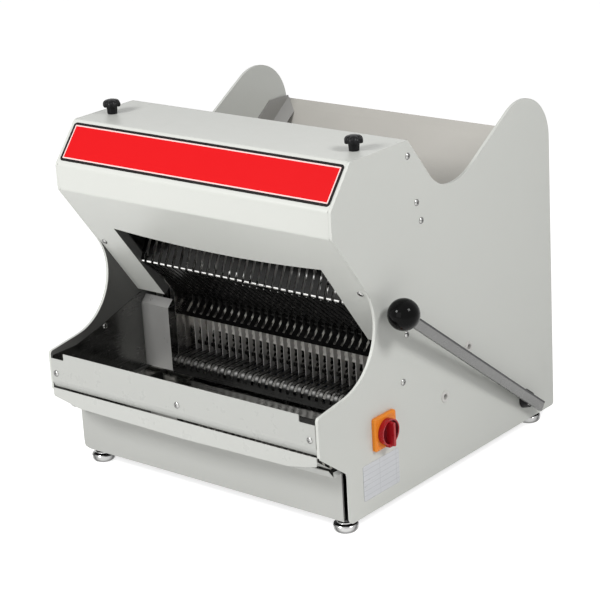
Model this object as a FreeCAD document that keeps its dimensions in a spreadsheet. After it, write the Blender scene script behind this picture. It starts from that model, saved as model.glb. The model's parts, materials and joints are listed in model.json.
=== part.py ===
"""Bench bread slicer: two side plates, a hood, combs, two blade frames, a crank drive and a
lever that pushes the loaf.

Frame: X runs left to right, the front faces -Y and Z is up. X = 0 is the middle of the machine,
Y = 0 the middle of its depth, and the feet stand on Z = 0. Every length is in millimetres.
"""

import FreeCAD, Part
import math
import os

V = FreeCAD.Vector

doc = FreeCAD.newDocument("bread_slicer")
sheet = doc.addObject("Spreadsheet::Sheet", "Sizes")

# name, value, meaning
SIZES = [
    ("width", 560, "over the outer faces of the side plates"),
    ("plate", 5, "side plate thickness"),
    ("sheet", 1.5, "folded sheet thickness"),
    ("play", 0.3, "gap between a moving piece and its neighbour"),
    # side plate outline
    ("base_z", 20, "underside of the side plates"),
    ("lip_y", -316, "foremost edge, at the tray"),
    ("lip_top", 215.5, "top of the tray lip"),
    ("lip_low", 150.5, "bottom of the tray lip"),
    ("leg_y", -255, "front edge below the drawer"),
    ("leg_top", 105, "top of that edge"),
    ("nose_y", -260.5, "front of the hood's nose"),
    ("nose_low", 475, "bottom of the nose"),
    ("nose_top", 516.5, "top of the nose"),
    ("hood_y", -209.5, "front fold of the hood's top"),
    ("hood_z", 579, "top of the hood"),
    ("hood_back", -70.5, "rear fold of the hood's top"),
    ("bay_y", -93, "deepest point of the bay's corner, before rounding"),
    ("bay_z", 246.5, "height of that point"),
    ("bay_round", 95, "radius of the bay's concave corner"),
    ("dip_y", 3.5, "front end of the dip over the chute"),
    ("dip_end", 68, "rear end of the dip"),
    ("dip_z", 484.5, "bottom of the dip"),
    ("rear_y", 316, "rear edge"),
    ("horn_round", 79, "radius of the horn"),
    ("horn_rise", 0.593, "slope from the dip up to the horn"),
    # hood, mouth and tray
    ("mouth_half", 213.5, "half of the mouth's width"),
    ("mouth_top", 404, "top edge of the mouth at its sides"),
    ("mouth_sag", 11, "how far that edge bows down in the middle"),
    ("strip_low", 260, "lower end of the hood's two strips"),
    ("strip_flange", 14, "flange behind the strip's inner edge"),
    ("apron_top", 216.5, "top of the apron"),
    ("apron_fold", 168, "fold near the apron's lower edge"),
    ("apron_low", 155, "lower edge of the apron"),
    ("apron_out", 1.5, "how far the apron stands before the plates"),
    ("jamb_y", -98, "front face of the bay's jambs"),
    ("jamb_top", 234, "top of the jambs"),
    ("jamb_low", 121.5, "bottom of the jambs"),
    # loaf channel and combs
    ("floor_z", 147, "surface that the loaf slides on"),
    ("pitch", 15, "distance between blades, the slice"),
    ("blades", 28, "number of blades"),
    ("slot", 5.5, "width of a comb's slot"),
    ("comb_t", 1.5, "thickness of the combs"),
    ("finger_y", -83, "where the lower comb's fingers bend down"),
    ("finger_low", 133, "lower end of the fingers"),
    ("band_low", 118.5, "lower edge of the band under the fingers"),
    ("upper_top", 430, "top edge of the upper comb"),
    ("upper_fold_y", -154, "front fold of the upper comb"),
    ("upper_fold_z", 334, "its height"),
    ("ridge_y", -42, "rear fold of the upper comb, at the blades"),
    ("ridge_z", 239, "its height: the room for the loaf"),
    ("upper_low_y", -69, "lower edge of the upper comb"),
    ("upper_low", 215, "its height"),
    # blades and their frames
    ("blade_y", -42, "middle of the blades"),
    ("blade_w", 12, "width of a blade"),
    ("blade_t", 0.8, "thickness of a blade"),
    ("blade_top", 456, "upper end of frame A at the top of its stroke"),
    ("blade_foot", 121, "lower end of frame A at the top of its stroke"),
    ("tooth", 10, "pitch of the blade's scallops"),
    ("tooth_deep", 2.4, "depth of a scallop"),
    ("carrier", 11, "depth of a carrier bar"),
    ("carrier_tall", 16, "height of a carrier bar"),
    ("carrier_gap", 7, "space between the blades' edge and a carrier bar"),
    ("guide_x", 250, "guide rods"),
    ("guide_dia", 12, "their diameter"),
    # crank drive
    ("crank_z", 63, "height of the crankshaft"),
    ("throw", 10, "eccentricity, half of the blades' stroke"),
    ("rod_len", 50, "connecting rod, centre of its strap to its wrist pin"),
    ("rod_t", 4, "thickness of a connecting rod"),
    ("rod_wall", 4, "wall of its strap"),
    ("crank_dia", 18, "crankshaft diameter between the eccentrics"),
    ("neck_dia", 10, "crankshaft diameter inside the straps"),
    ("end_dia", 14, "crankshaft diameter in its bearings"),
    ("disc_dia", 40, "eccentric disc"),
    ("disc_t", 4, "thickness of an eccentric disc"),
    ("disc_x", 211.5, "inner face of the first disc"),
    ("pin_dia", 8, "wrist pins"),
    ("lug_t", 3, "thickness of a wrist pin's lug"),
    ("motor_y", 84, "gearmotor axis"),
    ("motor_z", 84, "gearmotor axis"),
    ("output_z", 68, "gearmotor output shaft"),
    ("motor_dia", 92, "gearmotor body"),
    ("pulley_x", -186, "plane of the belt"),
    ("crank_pulley", 28, "diameter of the pulley on the crankshaft"),
    ("motor_pulley", 36, "diameter of the pulley on the motor"),
    ("belt_t", 2.2, "belt thickness"),
    ("belt_w", 12, "belt width"),
    # lever and pusher
    ("pivot_y", 228, "lever shaft"),
    ("pivot_z", 61, "lever shaft"),
    ("lever_len", 458, "lever shaft to the ball's middle"),
    ("lever_lean", 53.9, "lever's angle forward of upright at rest, degrees"),
    ("lever_tail", 35, "lever's length past its shaft"),
    ("lever_w", 18, "width of the lever bar"),
    ("lever_t", 7, "thickness of the lever bar"),
    ("lever_gap", 12, "plate to lever bar at the shaft"),
    ("lever_out", 18.5, "how far the bar leans outward up to the ball"),
    ("ball_dia", 50, "ball knob"),
    ("shaft_dia", 20, "lever shaft diameter"),
    ("arm_len", 174, "swing arm, pin to pin"),
    ("arm_lean", 25, "swing arm's angle forward of upright at rest, degrees"),
    ("arm_x", 210.5, "middle of the swing arms"),
    ("arm_t", 4, "thickness of the arms"),
    ("link_back", 40, "parallel link, this far before the lever shaft"),
    ("push_y", -2, "front face of the pusher at rest"),
    ("push_low", 152, "lower edge of the pusher"),
    ("push_top", 240, "upper edge of the pusher"),
    ("push_half", 204, "half of the pusher's width"),
    # drawer, switch, knobs and feet
    ("drawer_z", 107.5, "surface of the crumb pan"),
    ("drawer_back", -72, "rear end of the crumb pan"),
    ("drawer_foot", 112, "lower edge of the drawer's front, in the middle"),
    ("switch_y", -162.5, "rotary switch"),
    ("switch_z", 144, "rotary switch"),
    ("switch_plate", 54, "side of the switch's square plate"),
    ("switch_dia", 42, "rotary handle"),
    ("knob_x", 246, "hood knobs"),
    ("knob_y", -156, "hood knobs"),
    ("knob_dia", 32, "cap of a hood knob"),
    ("knob_tall", 27, "height of a hood knob"),
    ("foot_x", 257, "feet"),
    ("foot_front", -235, "front feet"),
    ("foot_rear", 274, "rear feet"),
    ("foot_dia", 40, "diameter of a foot"),
    ("deck_z", 24, "underside of the base plate"),
]

for row, (alias, value, meaning) in enumerate(SIZES, start=1):
    sheet.set(f"A{row}", alias)
    sheet.set(f"B{row}", str(value))
    sheet.setAlias(f"B{row}", alias)
    sheet.set(f"C{row}", meaning)
doc.recompute()


def size(alias):
    """Value of one cell."""
    return float(sheet.get(alias))


HALF = size("width") / 2
INNER = HALF - size("plate")
SHEET = size("sheet")
BLADE_COUNT = int(size("blades"))
NODES = []


# ---------------------------------------------------------------- helpers

def keep(piece, label):
    """Name a finished sub-part and put it on the list that is written out."""
    piece.Label = label
    NODES.append(piece)
    return piece


def place(piece, x=0, y=0, z=0, axis=None, angle=0):
    """Put a piece at a point, turned about an axis."""
    turn = FreeCAD.Rotation(axis or V(0, 0, 1), angle)
    piece.Placement = FreeCAD.Placement(V(x, y, z), turn)
    return piece


def rounded(corners, closed=True):
    """Lines and tangent arcs of a polygon whose corners are (u, v) or (u, v, radius)."""
    points = [V(c[0], c[1], 0) for c in corners]
    radii = [c[2] if len(c) > 2 else 0 for c in corners]
    count = len(points)
    starts, ends, arcs = [], [], []
    for i, point in enumerate(points):
        open_end = not closed and i in (0, count - 1)
        if radii[i] <= 0 or open_end:
            starts.append(point)
            ends.append(point)
            arcs.append(None)
            continue
        back = (points[i - 1] - point).normalize()
        ahead = (points[(i + 1) % count] - point).normalize()
        half = back.getAngle(ahead) / 2
        reach = radii[i] / math.tan(half)
        middle = (back + ahead).normalize() * (radii[i] / math.sin(half) - radii[i])
        starts.append(point + back * reach)
        ends.append(point + ahead * reach)
        arcs.append(Part.Arc(starts[-1], point + middle, ends[-1]))
    shapes = []
    for i in range(count):
        if arcs[i]:
            shapes.append(arcs[i])
        if closed or i < count - 1:
            after = starts[(i + 1) % count]
            if ends[i].distanceToPoint(after) > 1e-6:
                shapes.append(Part.LineSegment(ends[i], after))
    return shapes


def ring(u, v, radius):
    """A full circle in a sketch."""
    return [Part.Circle(V(u, v, 0), V(0, 0, 1), radius)]


def offset_path(path, gap):
    """Points of an open path moved sideways by gap; a fold's radius grows or shrinks with it."""
    moved = []
    for i, corner in enumerate(path):
        point = V(corner[0], corner[1], 0)
        sides = []
        for a, b in ((i - 1, i), (i, i + 1)):
            if 0 <= a and b < len(path):
                run = (V(path[b][0], path[b][1], 0) - V(path[a][0], path[a][1], 0)).normalize()
                sides.append(V(-run.y, run.x, 0))
        normal = (sides[0] + sides[-1]).normalize()
        point += normal * (gap / normal.dot(sides[0]))
        radius = corner[2] if len(corner) > 2 else 0
        if radius and len(sides) == 2:
            turn = sides[0].cross(sides[1]).z
            radius = max(radius - abs(gap), 0.2) if turn * gap > 0 else radius + abs(gap)
        moved.append((point.x, point.y, radius))
    return moved


def strip_outline(path, thickness):
    """Closed outline of a folded sheet: the path and its offset to the left."""
    far = offset_path(path, thickness)
    return rounded(list(path) + far[::-1])


def on_plane(body, role, name, shapes, offset=None):
    """Sketch on one of the body's own origin planes; offset is a formula along its normal."""
    sketch = body.newObject("Sketcher::SketchObject", name)
    plane = next(f for f in body.Origin.OriginFeatures if f.Role == role)
    sketch.AttachmentSupport = [(plane, "")]
    sketch.MapMode = "FlatFace"
    if offset:
        sketch.setExpression("AttachmentOffset.Base.z", offset)
    sketch.addGeometry([s for s in shapes], False)
    return sketch


def extrude(label, role, shapes, length, offset=None, midplane=False):
    """Body made by padding one outline; length and offset are formulas."""
    body = doc.addObject("PartDesign::Body", label)
    sketch = on_plane(body, role, label + "_outline", shapes, offset)
    pad = body.newObject("PartDesign::Pad", label + "_pad")
    pad.Profile = sketch
    pad.Midplane = midplane
    pad.setExpression("Length", length)
    return body


def cut(body, role, name, shapes, length=None, offset=None, reverse=False):
    """Pocket in a body; without a length it goes through all, both ways."""
    sketch = on_plane(body, role, name + "_outline", shapes, offset)
    doc.recompute()
    before = body.Tip.Shape.Volume
    pocket = body.newObject("PartDesign::Pocket", name)
    pocket.Profile = sketch
    pocket.Reversed = reverse
    if length:
        pocket.setExpression("Length", length)
    else:
        pocket.Type = "ThroughAll"
        pocket.Midplane = True
    doc.recompute()
    if not pocket.Shape.Volume < before - 1e-3:
        raise RuntimeError(name + " cuts nothing")
    return pocket


def box(name, x, y, z):
    """Part::Box between two limits on each axis; each limit is a formula."""
    piece = doc.addObject("Part::Box", name)
    for prop, base, (low, high) in (("Length", "x", x), ("Width", "y", y), ("Height", "z", z)):
        piece.setExpression(prop, f"({high}) - ({low})")
        piece.setExpression("Placement.Base." + base, low)
    return piece


def rod(name, x, y, z, radius, axis="x"):
    """Cylinder along an axis: that axis gives two limits, the others the centre."""
    piece = doc.addObject("Part::Cylinder", name)
    turn = {"x": FreeCAD.Rotation(V(0, 1, 0), 90), "y": FreeCAD.Rotation(V(1, 0, 0), -90),
            "z": FreeCAD.Rotation()}[axis]
    piece.Placement = FreeCAD.Placement(V(0, 0, 0), turn)
    piece.setExpression("Radius", radius)
    for base, limits in (("x", x), ("y", y), ("z", z)):
        if base == axis:
            piece.setExpression("Placement.Base." + base, limits[0])
            piece.setExpression("Height", f"({limits[1]}) - ({limits[0]})")
        else:
            piece.setExpression("Placement.Base." + base, limits)
    return piece


def turned(name, half_outline, x, y, z, axis=None, angle=0):
    """Body revolved about its own Z from a half outline (radius, height[, rounding])."""
    body = doc.addObject("PartDesign::Body", name)
    sketch = on_plane(body, "XZ_Plane", name + "_outline", rounded(half_outline))
    spin = body.newObject("PartDesign::Revolution", name + "_turn")
    spin.Profile = sketch
    spin.ReferenceAxis = (sketch, ["V_Axis"])
    spin.Angle = 360
    return place(body, x, y, z, axis, angle)


def fused(label, pieces):
    """One solid from overlapping pieces."""
    union = doc.addObject("Part::MultiFuse", label)
    union.Shapes = pieces
    union.Refine = True
    return union


def minus(label, base, tool):
    """Base with the tool taken out."""
    piece = doc.addObject("Part::Cut", label)
    piece.Base = base
    piece.Tool = tool
    return piece


def grouped(label, pieces):
    """Several separate solids kept as one node."""
    group = doc.addObject("Part::Compound", label)
    group.Links = pieces
    return group


def rectangle(u0, v0, u1, v1, radius=0):
    """Closed rectangle, with rounded corners where a radius is given."""
    return rounded([(u0, v0, radius), (u1, v0, radius), (u1, v1, radius), (u0, v1, radius)])


def blade_places(first=0, step=1):
    """X of every blade, or of every second one."""
    middle = (BLADE_COUNT - 1) / 2
    return [(i - middle) * size("pitch") for i in range(first, BLADE_COUNT, step)]


# ---------------------------------------------------------------- side plates

def plate_corners():
    """Outline of a side plate in Y and Z, with the radius at each corner."""
    horn_top = size("dip_z") + (size("rear_y") - size("dip_end")) * size("horn_rise")
    return [
        (size("leg_y"), size("base_z"), 12),
        (size("rear_y"), size("base_z"), 6),
        (size("rear_y"), horn_top, size("horn_round")),
        (size("dip_end"), size("dip_z"), 110),
        (size("dip_y"), size("dip_z"), 70),
        (size("hood_back"), size("hood_z"), 6),
        (size("hood_y"), size("hood_z"), 6),
        (size("nose_y"), size("nose_top"), 9),
        (size("nose_y"), size("nose_low"), 9),
        (size("bay_y"), size("bay_z"), size("bay_round")),
        (size("lip_y"), size("lip_top"), 6),
        (size("lip_y"), size("lip_low"), 5),
        (size("leg_y"), size("leg_top"), 10),
    ]


PIVOT = (size("pivot_y"), size("pivot_z"))
LINK = (size("pivot_y") - size("link_back"), size("pivot_z"))
BUSH = size("shaft_dia") / 2 + 4
SWITCH_HOLE = 15
PLUGS = [(70.5, 204), (2, 142)]
PLUG_HOLE = 7
PLATE_SCREWS = [(-71.5, 554), (-53.5, 477), (-43.5, 446), (-92, 277), (-105.5, 203)]


def side_plate(label, offset, own_holes):
    """One side plate with its bores and the drawer's runner welded to its inner face."""
    outline = rounded(plate_corners())
    outline += ring(*PIVOT, BUSH)
    for y, z, radius in own_holes:
        outline += ring(y, z, radius)
    body = extrude(label, "YZ_Plane", outline, "Sizes.plate", offset)
    doc.recompute()
    top = size("drawer_z") - PAN_T - size("play")
    runner = rectangle(RUNNER_Y[0], top - RUNNER_T, RUNNER_Y[1], top)
    right = label.endswith("right")
    start = "Sizes.width / 2 - Sizes.plate - 8" if right else "Sizes.plate - Sizes.width / 2"
    sketch = on_plane(body, "YZ_Plane", label + "_runner_outline", runner, start)
    pad = body.newObject("PartDesign::Pad", label + "_runner")
    pad.Profile = sketch
    pad.Length = 8
    return keep(body, label)


PAN_T = 1.2
RUNNER_Y = (-236, -75)
RUNNER_T = 3
right_holes = [(size("switch_y"), size("switch_z"), SWITCH_HOLE)] + [(y, z, PLUG_HOLE) for y, z in PLUGS]
side_plate("side_plate_right", "Sizes.width / 2 - Sizes.plate", right_holes)
side_plate("side_plate_left", "-Sizes.width / 2", [])


# ---------------------------------------------------------------- hood and front panel

def hood_path():
    """Outside of the hood from its rear edge over the top to the strips' lower end."""
    rise = (size("hood_z") - size("dip_z")) / (size("dip_y") - size("hood_back"))
    back_low = size("dip_z") + 22
    back_y = size("hood_back") + (size("hood_z") - back_low) / rise
    slope = (size("bay_y") - size("nose_y")) / (size("nose_low") - size("bay_z"))
    strip_y = size("nose_y") + (size("nose_low") - size("strip_low")) * slope
    return [
        (back_y, back_low),
        (size("hood_back"), size("hood_z"), 6),
        (size("hood_y"), size("hood_z"), 6),
        (size("nose_y"), size("nose_top"), 9),
        (size("nose_y"), size("nose_low"), 9),
        (strip_y, size("strip_low")),
    ]


def mouth_outline():
    """Mouth cut in the hood, in X and Z: a shallow arc above, open below."""
    half = size("mouth_half")
    top = size("mouth_top")
    low = size("strip_low") - 30
    arc = Part.Arc(V(-half, top, 0), V(0, top - size("mouth_sag"), 0), V(half, top, 0))
    sides = [V(half, top, 0), V(half, low, 0), V(-half, low, 0), V(-half, top, 0)]
    return [arc] + [Part.LineSegment(a, b) for a, b in zip(sides, sides[1:])]


HOOD_HALF = "(Sizes.width / 2 - Sizes.plate - 0.2)"
KNOB_HOLE = 5
STRIP_SCREW = (264.6, 366.7)


def hood():
    """Folded sheet between the plates with the mouth, the strips' flanges and the knob holes."""
    path = hood_path()
    body = extrude("hood", "YZ_Plane", strip_outline(path, SHEET), f"2 * {HOOD_HALF}", midplane=True)
    doc.recompute()
    cut(body, "XZ_Plane", "mouth", mouth_outline())
    holes = []
    for side in (-1, 1):
        holes += ring(side * size("knob_x"), size("knob_y"), KNOB_HOLE)
    cut(body, "XY_Plane", "knob_holes", holes, "20", "Sizes.hood_z - 10", reverse=True)
    top_y, top_z = path[-2][0], path[-2][1]
    low_y, low_z = path[-1][0], path[-1][1]
    run = V(low_y - top_y, low_z - top_z, 0).normalize()
    deep = V(-run.y, run.x, 0) * (size("strip_flange") + SHEET)
    start = V(low_y, low_z, 0) - run * ((size("mouth_top") - size("strip_low")) / -run.y)
    skin = V(-run.y, run.x, 0) * (SHEET / 2)
    quad = [start + skin, V(low_y, low_z, 0) + skin, V(low_y, low_z, 0) + deep, start + deep]
    for side in (-1, 1):
        edge = f"{side} * Sizes.mouth_half" + ("" if side > 0 else " - Sizes.sheet")
        flange = rounded([(p.x, p.y) for p in quad])
        sketch = on_plane(body, "YZ_Plane", f"flange_{side + 1}_outline", flange, edge)
        pad = body.newObject("PartDesign::Pad", f"flange_{side + 1}")
        pad.Profile = sketch
        pad.setExpression("Length", "Sizes.sheet")
    return keep(body, "hood")


hood()


def front_panel():
    """Thin red panel on the hood's sloped face."""
    low = V(size("nose_y"), size("nose_top"), 0)
    high = V(size("hood_y"), size("hood_z"), 0)
    run = (high - low).normalize()
    out = V(-run.y, run.x, 0)
    a = low + run * 7.5
    b = high - run * 5.5
    path = [a, b, b + out * PANEL_T, a + out * PANEL_T]
    shapes = rounded([(p.x, p.y) for p in path])
    body = extrude("front_panel", "YZ_Plane", shapes, f"2 * ({HOOD_HALF} - 1)", midplane=True)
    return keep(body, "front_panel")


PANEL_T = 0.8
front_panel()


# ---------------------------------------------------------------- tray

def apron():
    """Front flap: upright, with a slight fold near its lower edge and stepped upper corners."""
    front = size("lip_y") - size("apron_out")
    path = [(front + 5, size("apron_low")), (front, size("apron_fold"), 3), (front, size("apron_top"))]
    body = extrude("apron", "YZ_Plane", strip_outline(path, -SHEET), f"2 * {HOOD_HALF}", midplane=True)
    doc.recompute()
    shoulder = size("apron_top") - 11.5
    for side in (-1, 1):
        inner = side * (INNER - 30)
        outer = side * (INNER + 5)
        corner = [(inner - side * 12, size("apron_top") + 4), (inner, size("apron_top") + 0.01, 0),
                  (inner, shoulder, 2), (outer, shoulder), (outer, size("apron_top") + 4)]
        cut(body, "XZ_Plane", f"apron_step_{side + 1}", rounded(corner))
    return keep(body, "apron")


APRON_SCREWS = (-264, 0, 264)
APRON_SCREW_Z = 180
apron()


def cheek_corners():
    """Side sheet of the tray between the apron and the jamb, in Y and Z."""
    front = size("lip_y") + 3
    back = size("jamb_y") - 0.5
    fold = size("apron_fold")
    return [
        (front, size("lip_top") - 7.5),
        (size("nose_y") + 2, size("lip_top") - 7.5),
        (-205, 220.5, 90), (-151, 237, 60), (-108, 250), (back, 253),
        (back, size("jamb_low") - 1),
        (size("leg_y") - 8, size("drawer_z") + 12),
        (front + 5, size("lip_low") + 6),
        (front, fold + 2),
    ]


for side, label in ((-1, "tray_cheek_left"), (1, "tray_cheek_right")):
    offset = "Sizes.width / 2 - Sizes.plate - 1.2" if side > 0 else "-(Sizes.width / 2 - Sizes.plate)"
    cheek = rounded(cheek_corners())
    if side > 0:
        cheek += ring(size("switch_y"), size("switch_z"), SWITCH_HOLE)
    keep(extrude(label, "YZ_Plane", cheek, "1.2", offset), label)


def jamb(side, label):
    """Front wall beside the bay: a face, a flange along the bay and a flange on top."""
    inner = size("mouth_half")
    outer = INNER - 0.2
    low, high = sorted((side * inner, side * outer))
    face = rectangle(low, size("jamb_low"), high, size("jamb_top"))
    body = extrude(label, "XZ_Plane", face, "Sizes.sheet", f"-({size('jamb_y')}) - Sizes.sheet")
    doc.recompute()
    back = size("jamb_y")
    bay = sorted((side * inner, side * (inner + SHEET)))
    flange = rectangle(bay[0], back + 0.5, bay[1], back + 16)
    sketch = on_plane(body, "XY_Plane", label + "_bay_outline", flange, "Sizes.jamb_low")
    pad = body.newObject("PartDesign::Pad", label + "_bay_flange")
    pad.Profile = sketch
    pad.setExpression("Length", "Sizes.jamb_top - Sizes.jamb_low")
    top = [(back + 0.5, size("jamb_top") - SHEET), (back + 0.5, size("jamb_top")),
           (back + 13, size("jamb_top") + 12), (back + 14, size("jamb_top") + 11)]
    reach = "Sizes.width / 2 - Sizes.plate - 0.2 - Sizes.mouth_half"
    start = "Sizes.mouth_half" if side > 0 else "-(Sizes.width / 2 - Sizes.plate - 0.2)"
    sketch = on_plane(body, "YZ_Plane", label + "_top_outline", rounded(top), start)
    pad = body.newObject("PartDesign::Pad", label + "_top_flange")
    pad.Profile = sketch
    pad.setExpression("Length", reach)
    return keep(body, label)


jamb(-1, "jamb_left")
jamb(1, "jamb_right")


# ---------------------------------------------------------------- combs

CHANNEL = size("mouth_half") - 0.5


def slot_rectangles(y_front, y_back):
    """One slot per blade, in X and Y."""
    half = size("slot") / 2
    shapes = []
    for x in blade_places():
        shapes += rectangle(x - half, y_front, x + half, y_back)
    return shapes


def lower_comb():
    """Fingers that carry the loaf up to the blades, bent down to a plain band in front."""
    face = size("jamb_y") + 1
    path = [
        (-8, size("floor_z")),
        (size("finger_y"), size("floor_z")),
        (face, size("finger_low")),
        (face, size("band_low")),
    ]
    section = strip_outline(path, size("comb_t"))
    body = extrude("lower_comb", "YZ_Plane", section, f"2 * {CHANNEL}", midplane=True)
    cut(body, "XY_Plane", "lower_slots", slot_rectangles(size("jamb_y") - 10, -20),
        "Sizes.floor_z - Sizes.finger_low + 3", "Sizes.floor_z + 3")
    return keep(body, "lower_comb")


def upper_comb():
    """Folded guide above the loaf: its slots run over both folds, and the blades pass through."""
    lean = 13.9 / 29.6
    top_y = size("upper_fold_y") + (size("upper_top") - size("upper_fold_z")) * lean
    path = [
        (top_y, size("upper_top")),
        (size("upper_fold_y"), size("upper_fold_z")),
        (size("ridge_y"), size("ridge_z")),
        (size("upper_low_y"), size("upper_low")),
    ]
    section = strip_outline(path, size("comb_t"))
    body = extrude("upper_comb", "YZ_Plane", section, f"2 * {CHANNEL}", midplane=True)
    cut(body, "XY_Plane", "upper_slots", slot_rectangles(-175, -20),
        "Sizes.upper_top - 26 - (Sizes.upper_low + 4)", "Sizes.upper_top - 26")
    return keep(body, "upper_comb")


lower_comb()
upper_comb()


# ---------------------------------------------------------------- inner sheets

def panel(label, path, half, thickness=None):
    """Folded sheet across the machine along a Y-Z path."""
    section = strip_outline(path, thickness or SHEET)
    body = extrude(label, "YZ_Plane", section, f"2 * ({half})", midplane=True)
    return keep(body, label)


panel("lower_front_panel",
      [(size("leg_y") + 2, size("deck_z") + 2.5), (size("leg_y") + 2, size("drawer_z") - 2.5, 2),
       (size("leg_y") + 16, size("drawer_z") - 2.5)], INNER - 0.2, -SHEET)

DECK_T = 2.5
deck_y = (size("leg_y") + 2, size("rear_y") - 3.5)
box_deck = extrude("base_plate", "XY_Plane",
                   rectangle(-INNER + 0.2, deck_y[0], INNER - 0.2, deck_y[1]), str(DECK_T), "Sizes.deck_z")
keep(box_deck, "base_plate")

FLOOR_IN = 1.5
RIM_TOP = 498
RIM_FOLD = 484
CHUTE_FOOT = (152, size("floor_z"))


def chute_plate():
    """Inclined back of the loading chute with its folded rim; the pusher's rails pass its slots."""
    path = [(size("rear_y") - 0.5, RIM_TOP), (size("rear_y") - 8, RIM_FOLD, 3), CHUTE_FOOT]
    body = extrude("chute_plate", "YZ_Plane", strip_outline(path, SHEET), f"2 * {HOOD_HALF}", midplane=True)
    doc.recompute()
    slot_in = size("push_half") - FLOOR_IN
    for side in (-1, 1):
        a, b = sorted((side * slot_in, side * (INNER + 5)))
        cut(body, "XZ_Plane", f"chute_slot_{side + 1}", rectangle(a, size("floor_z") - 20, b, 300))
    return keep(body, "chute_plate")


chute_plate()

floor_half = size("push_half") - FLOOR_IN
keep(extrude("loading_floor", "XY_Plane",
             rectangle(-floor_half, -7.5, floor_half, CHUTE_FOOT[0] - 0.5), "Sizes.sheet",
             "Sizes.floor_z - Sizes.sheet"), "loading_floor")

panel("rear_guard",
      [(size("dip_y") - 2, size("dip_z") + 8), (-10, 440, 6), (-10, 400, 20), (-29, 252)], CHANNEL)

VENTS = 9


def rear_cover():
    """Flat service cover below the rim, with a block of vent slots and the cable gland's hole."""
    back = size("rear_y") - 2.5
    path = [(back, size("deck_z") + DECK_T + 0.5), (back, RIM_FOLD - 12)]
    body = extrude("rear_cover", "YZ_Plane", strip_outline(path, SHEET), f"2 * {HOOD_HALF}", midplane=True)
    slots = ring(*GLAND, GLAND_DIA / 2)
    for row in range(VENTS):
        z = 90 + row * 14
        slots += rectangle(-60, z, 60, z + 5)
    cut(body, "XZ_Plane", "vents", slots)
    return keep(body, "rear_cover")


GLAND = (-220, 62)
GLAND_DIA = 20
rear_cover()


def channel_wall(label, side):
    """Side of the loaf's channel between the jamb and the chute plate."""
    reach = (RIM_FOLD - CHUTE_FOOT[1]) / (size("rear_y") - 8 - CHUTE_FOOT[0])
    top = 400
    low = size("floor_z") - SHEET
    back_top = CHUTE_FOOT[0] + (top - CHUTE_FOOT[1]) / reach - 4
    corners = [(-80, low), (CHUTE_FOOT[0] - 6, low), (back_top, top), (-136, top),
               (-136, size("upper_fold_z") + 2), (-80, size("ridge_z") + 18)]
    start = "Sizes.mouth_half" if side > 0 else "-Sizes.mouth_half - Sizes.sheet"
    return keep(extrude(label, "YZ_Plane", rounded(corners), "Sizes.sheet", start), label)


channel_wall("channel_wall_left", -1)
channel_wall("channel_wall_right", 1)


def chute_rail(side):
    """Faceted cheek in the chute's upper corner: from the side plate in toward the loaf, cut to the chute plate."""
    slope = math.radians(RAIL_SLOPE)
    along = V(0, math.cos(slope), math.sin(slope))
    path = [(side * (INNER - u), v) for u, v in RAIL_PATH]
    name = f"chute_rail_{side + 1}"
    body = extrude(name, "XY_Plane", strip_outline(path, -side * SHEET), str(RAIL_LONG))
    turn = FreeCAD.Rotation(V(-1, 0, 0), V(0, -along.z, along.y), along, "ZYX")
    body.Placement = FreeCAD.Placement(V(0, *RAIL_END) - along * (RAIL_LONG - 40), turn)
    beyond = rounded([(0, RAIL_TOP), (size("rear_y") - 0.5, RAIL_TOP), (size("rear_y") - 0.5, RIM_TOP),
                      (size("rear_y") - 8, RIM_FOLD), CHUTE_FOOT, (600, CHUTE_FOOT[1]), (600, 800), (0, 800)])
    tool = extrude(name + "_beyond", "YZ_Plane", beyond, "2 * Sizes.width", midplane=True)
    return minus(name + "_cheek", body, tool)


RAIL_SLOPE = 36
RAIL_LONG = 140
RAIL_END = (299, 462)
RAIL_TOP = 503
RAIL_PATH = [(0, 52), (4, 20), (16, 13), (24, 8)]
keep(grouped("chute_rails", [chute_rail(-1), chute_rail(1)]), "chute_rails")

span = ("-Sizes.width / 2 + Sizes.plate", "Sizes.width / 2 - Sizes.plate")
UNDER_FLOOR = ("Sizes.floor_z - Sizes.sheet - 12", "Sizes.floor_z - Sizes.sheet")
bars = [
    rod("hood_bar", span, "-71.5", "554", "7"),
    box("comb_bar", span, ("-107", "-95"), ("Sizes.upper_top - 6", "Sizes.upper_top + 6")),
    box("floor_bar_front", span, ("-12", "0"), UNDER_FLOOR),
    box("floor_bar_back", span, ("60", "72"), UNDER_FLOOR),
]
keep(grouped("cross_bars", bars), "cross_bars")

# ---------------------------------------------------------------- blade frames

FRONT_ROW = "(Sizes.blade_y - Sizes.blade_w / 2 - Sizes.carrier_gap - Sizes.carrier / 2)"
BACK_ROW = "(Sizes.blade_y + Sizes.blade_w / 2 + Sizes.carrier_gap + Sizes.carrier / 2)"
STROKE = 2 * size("throw")
POST_X = (224, 234)
BLOCK_X = (238, 262)
BLOCK_DEEP = 19
CHAMFER = (5, 9)
LUG_END = 6.5
GUIDE_TOP = 488
GUIDE_FOOT = 74


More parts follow.
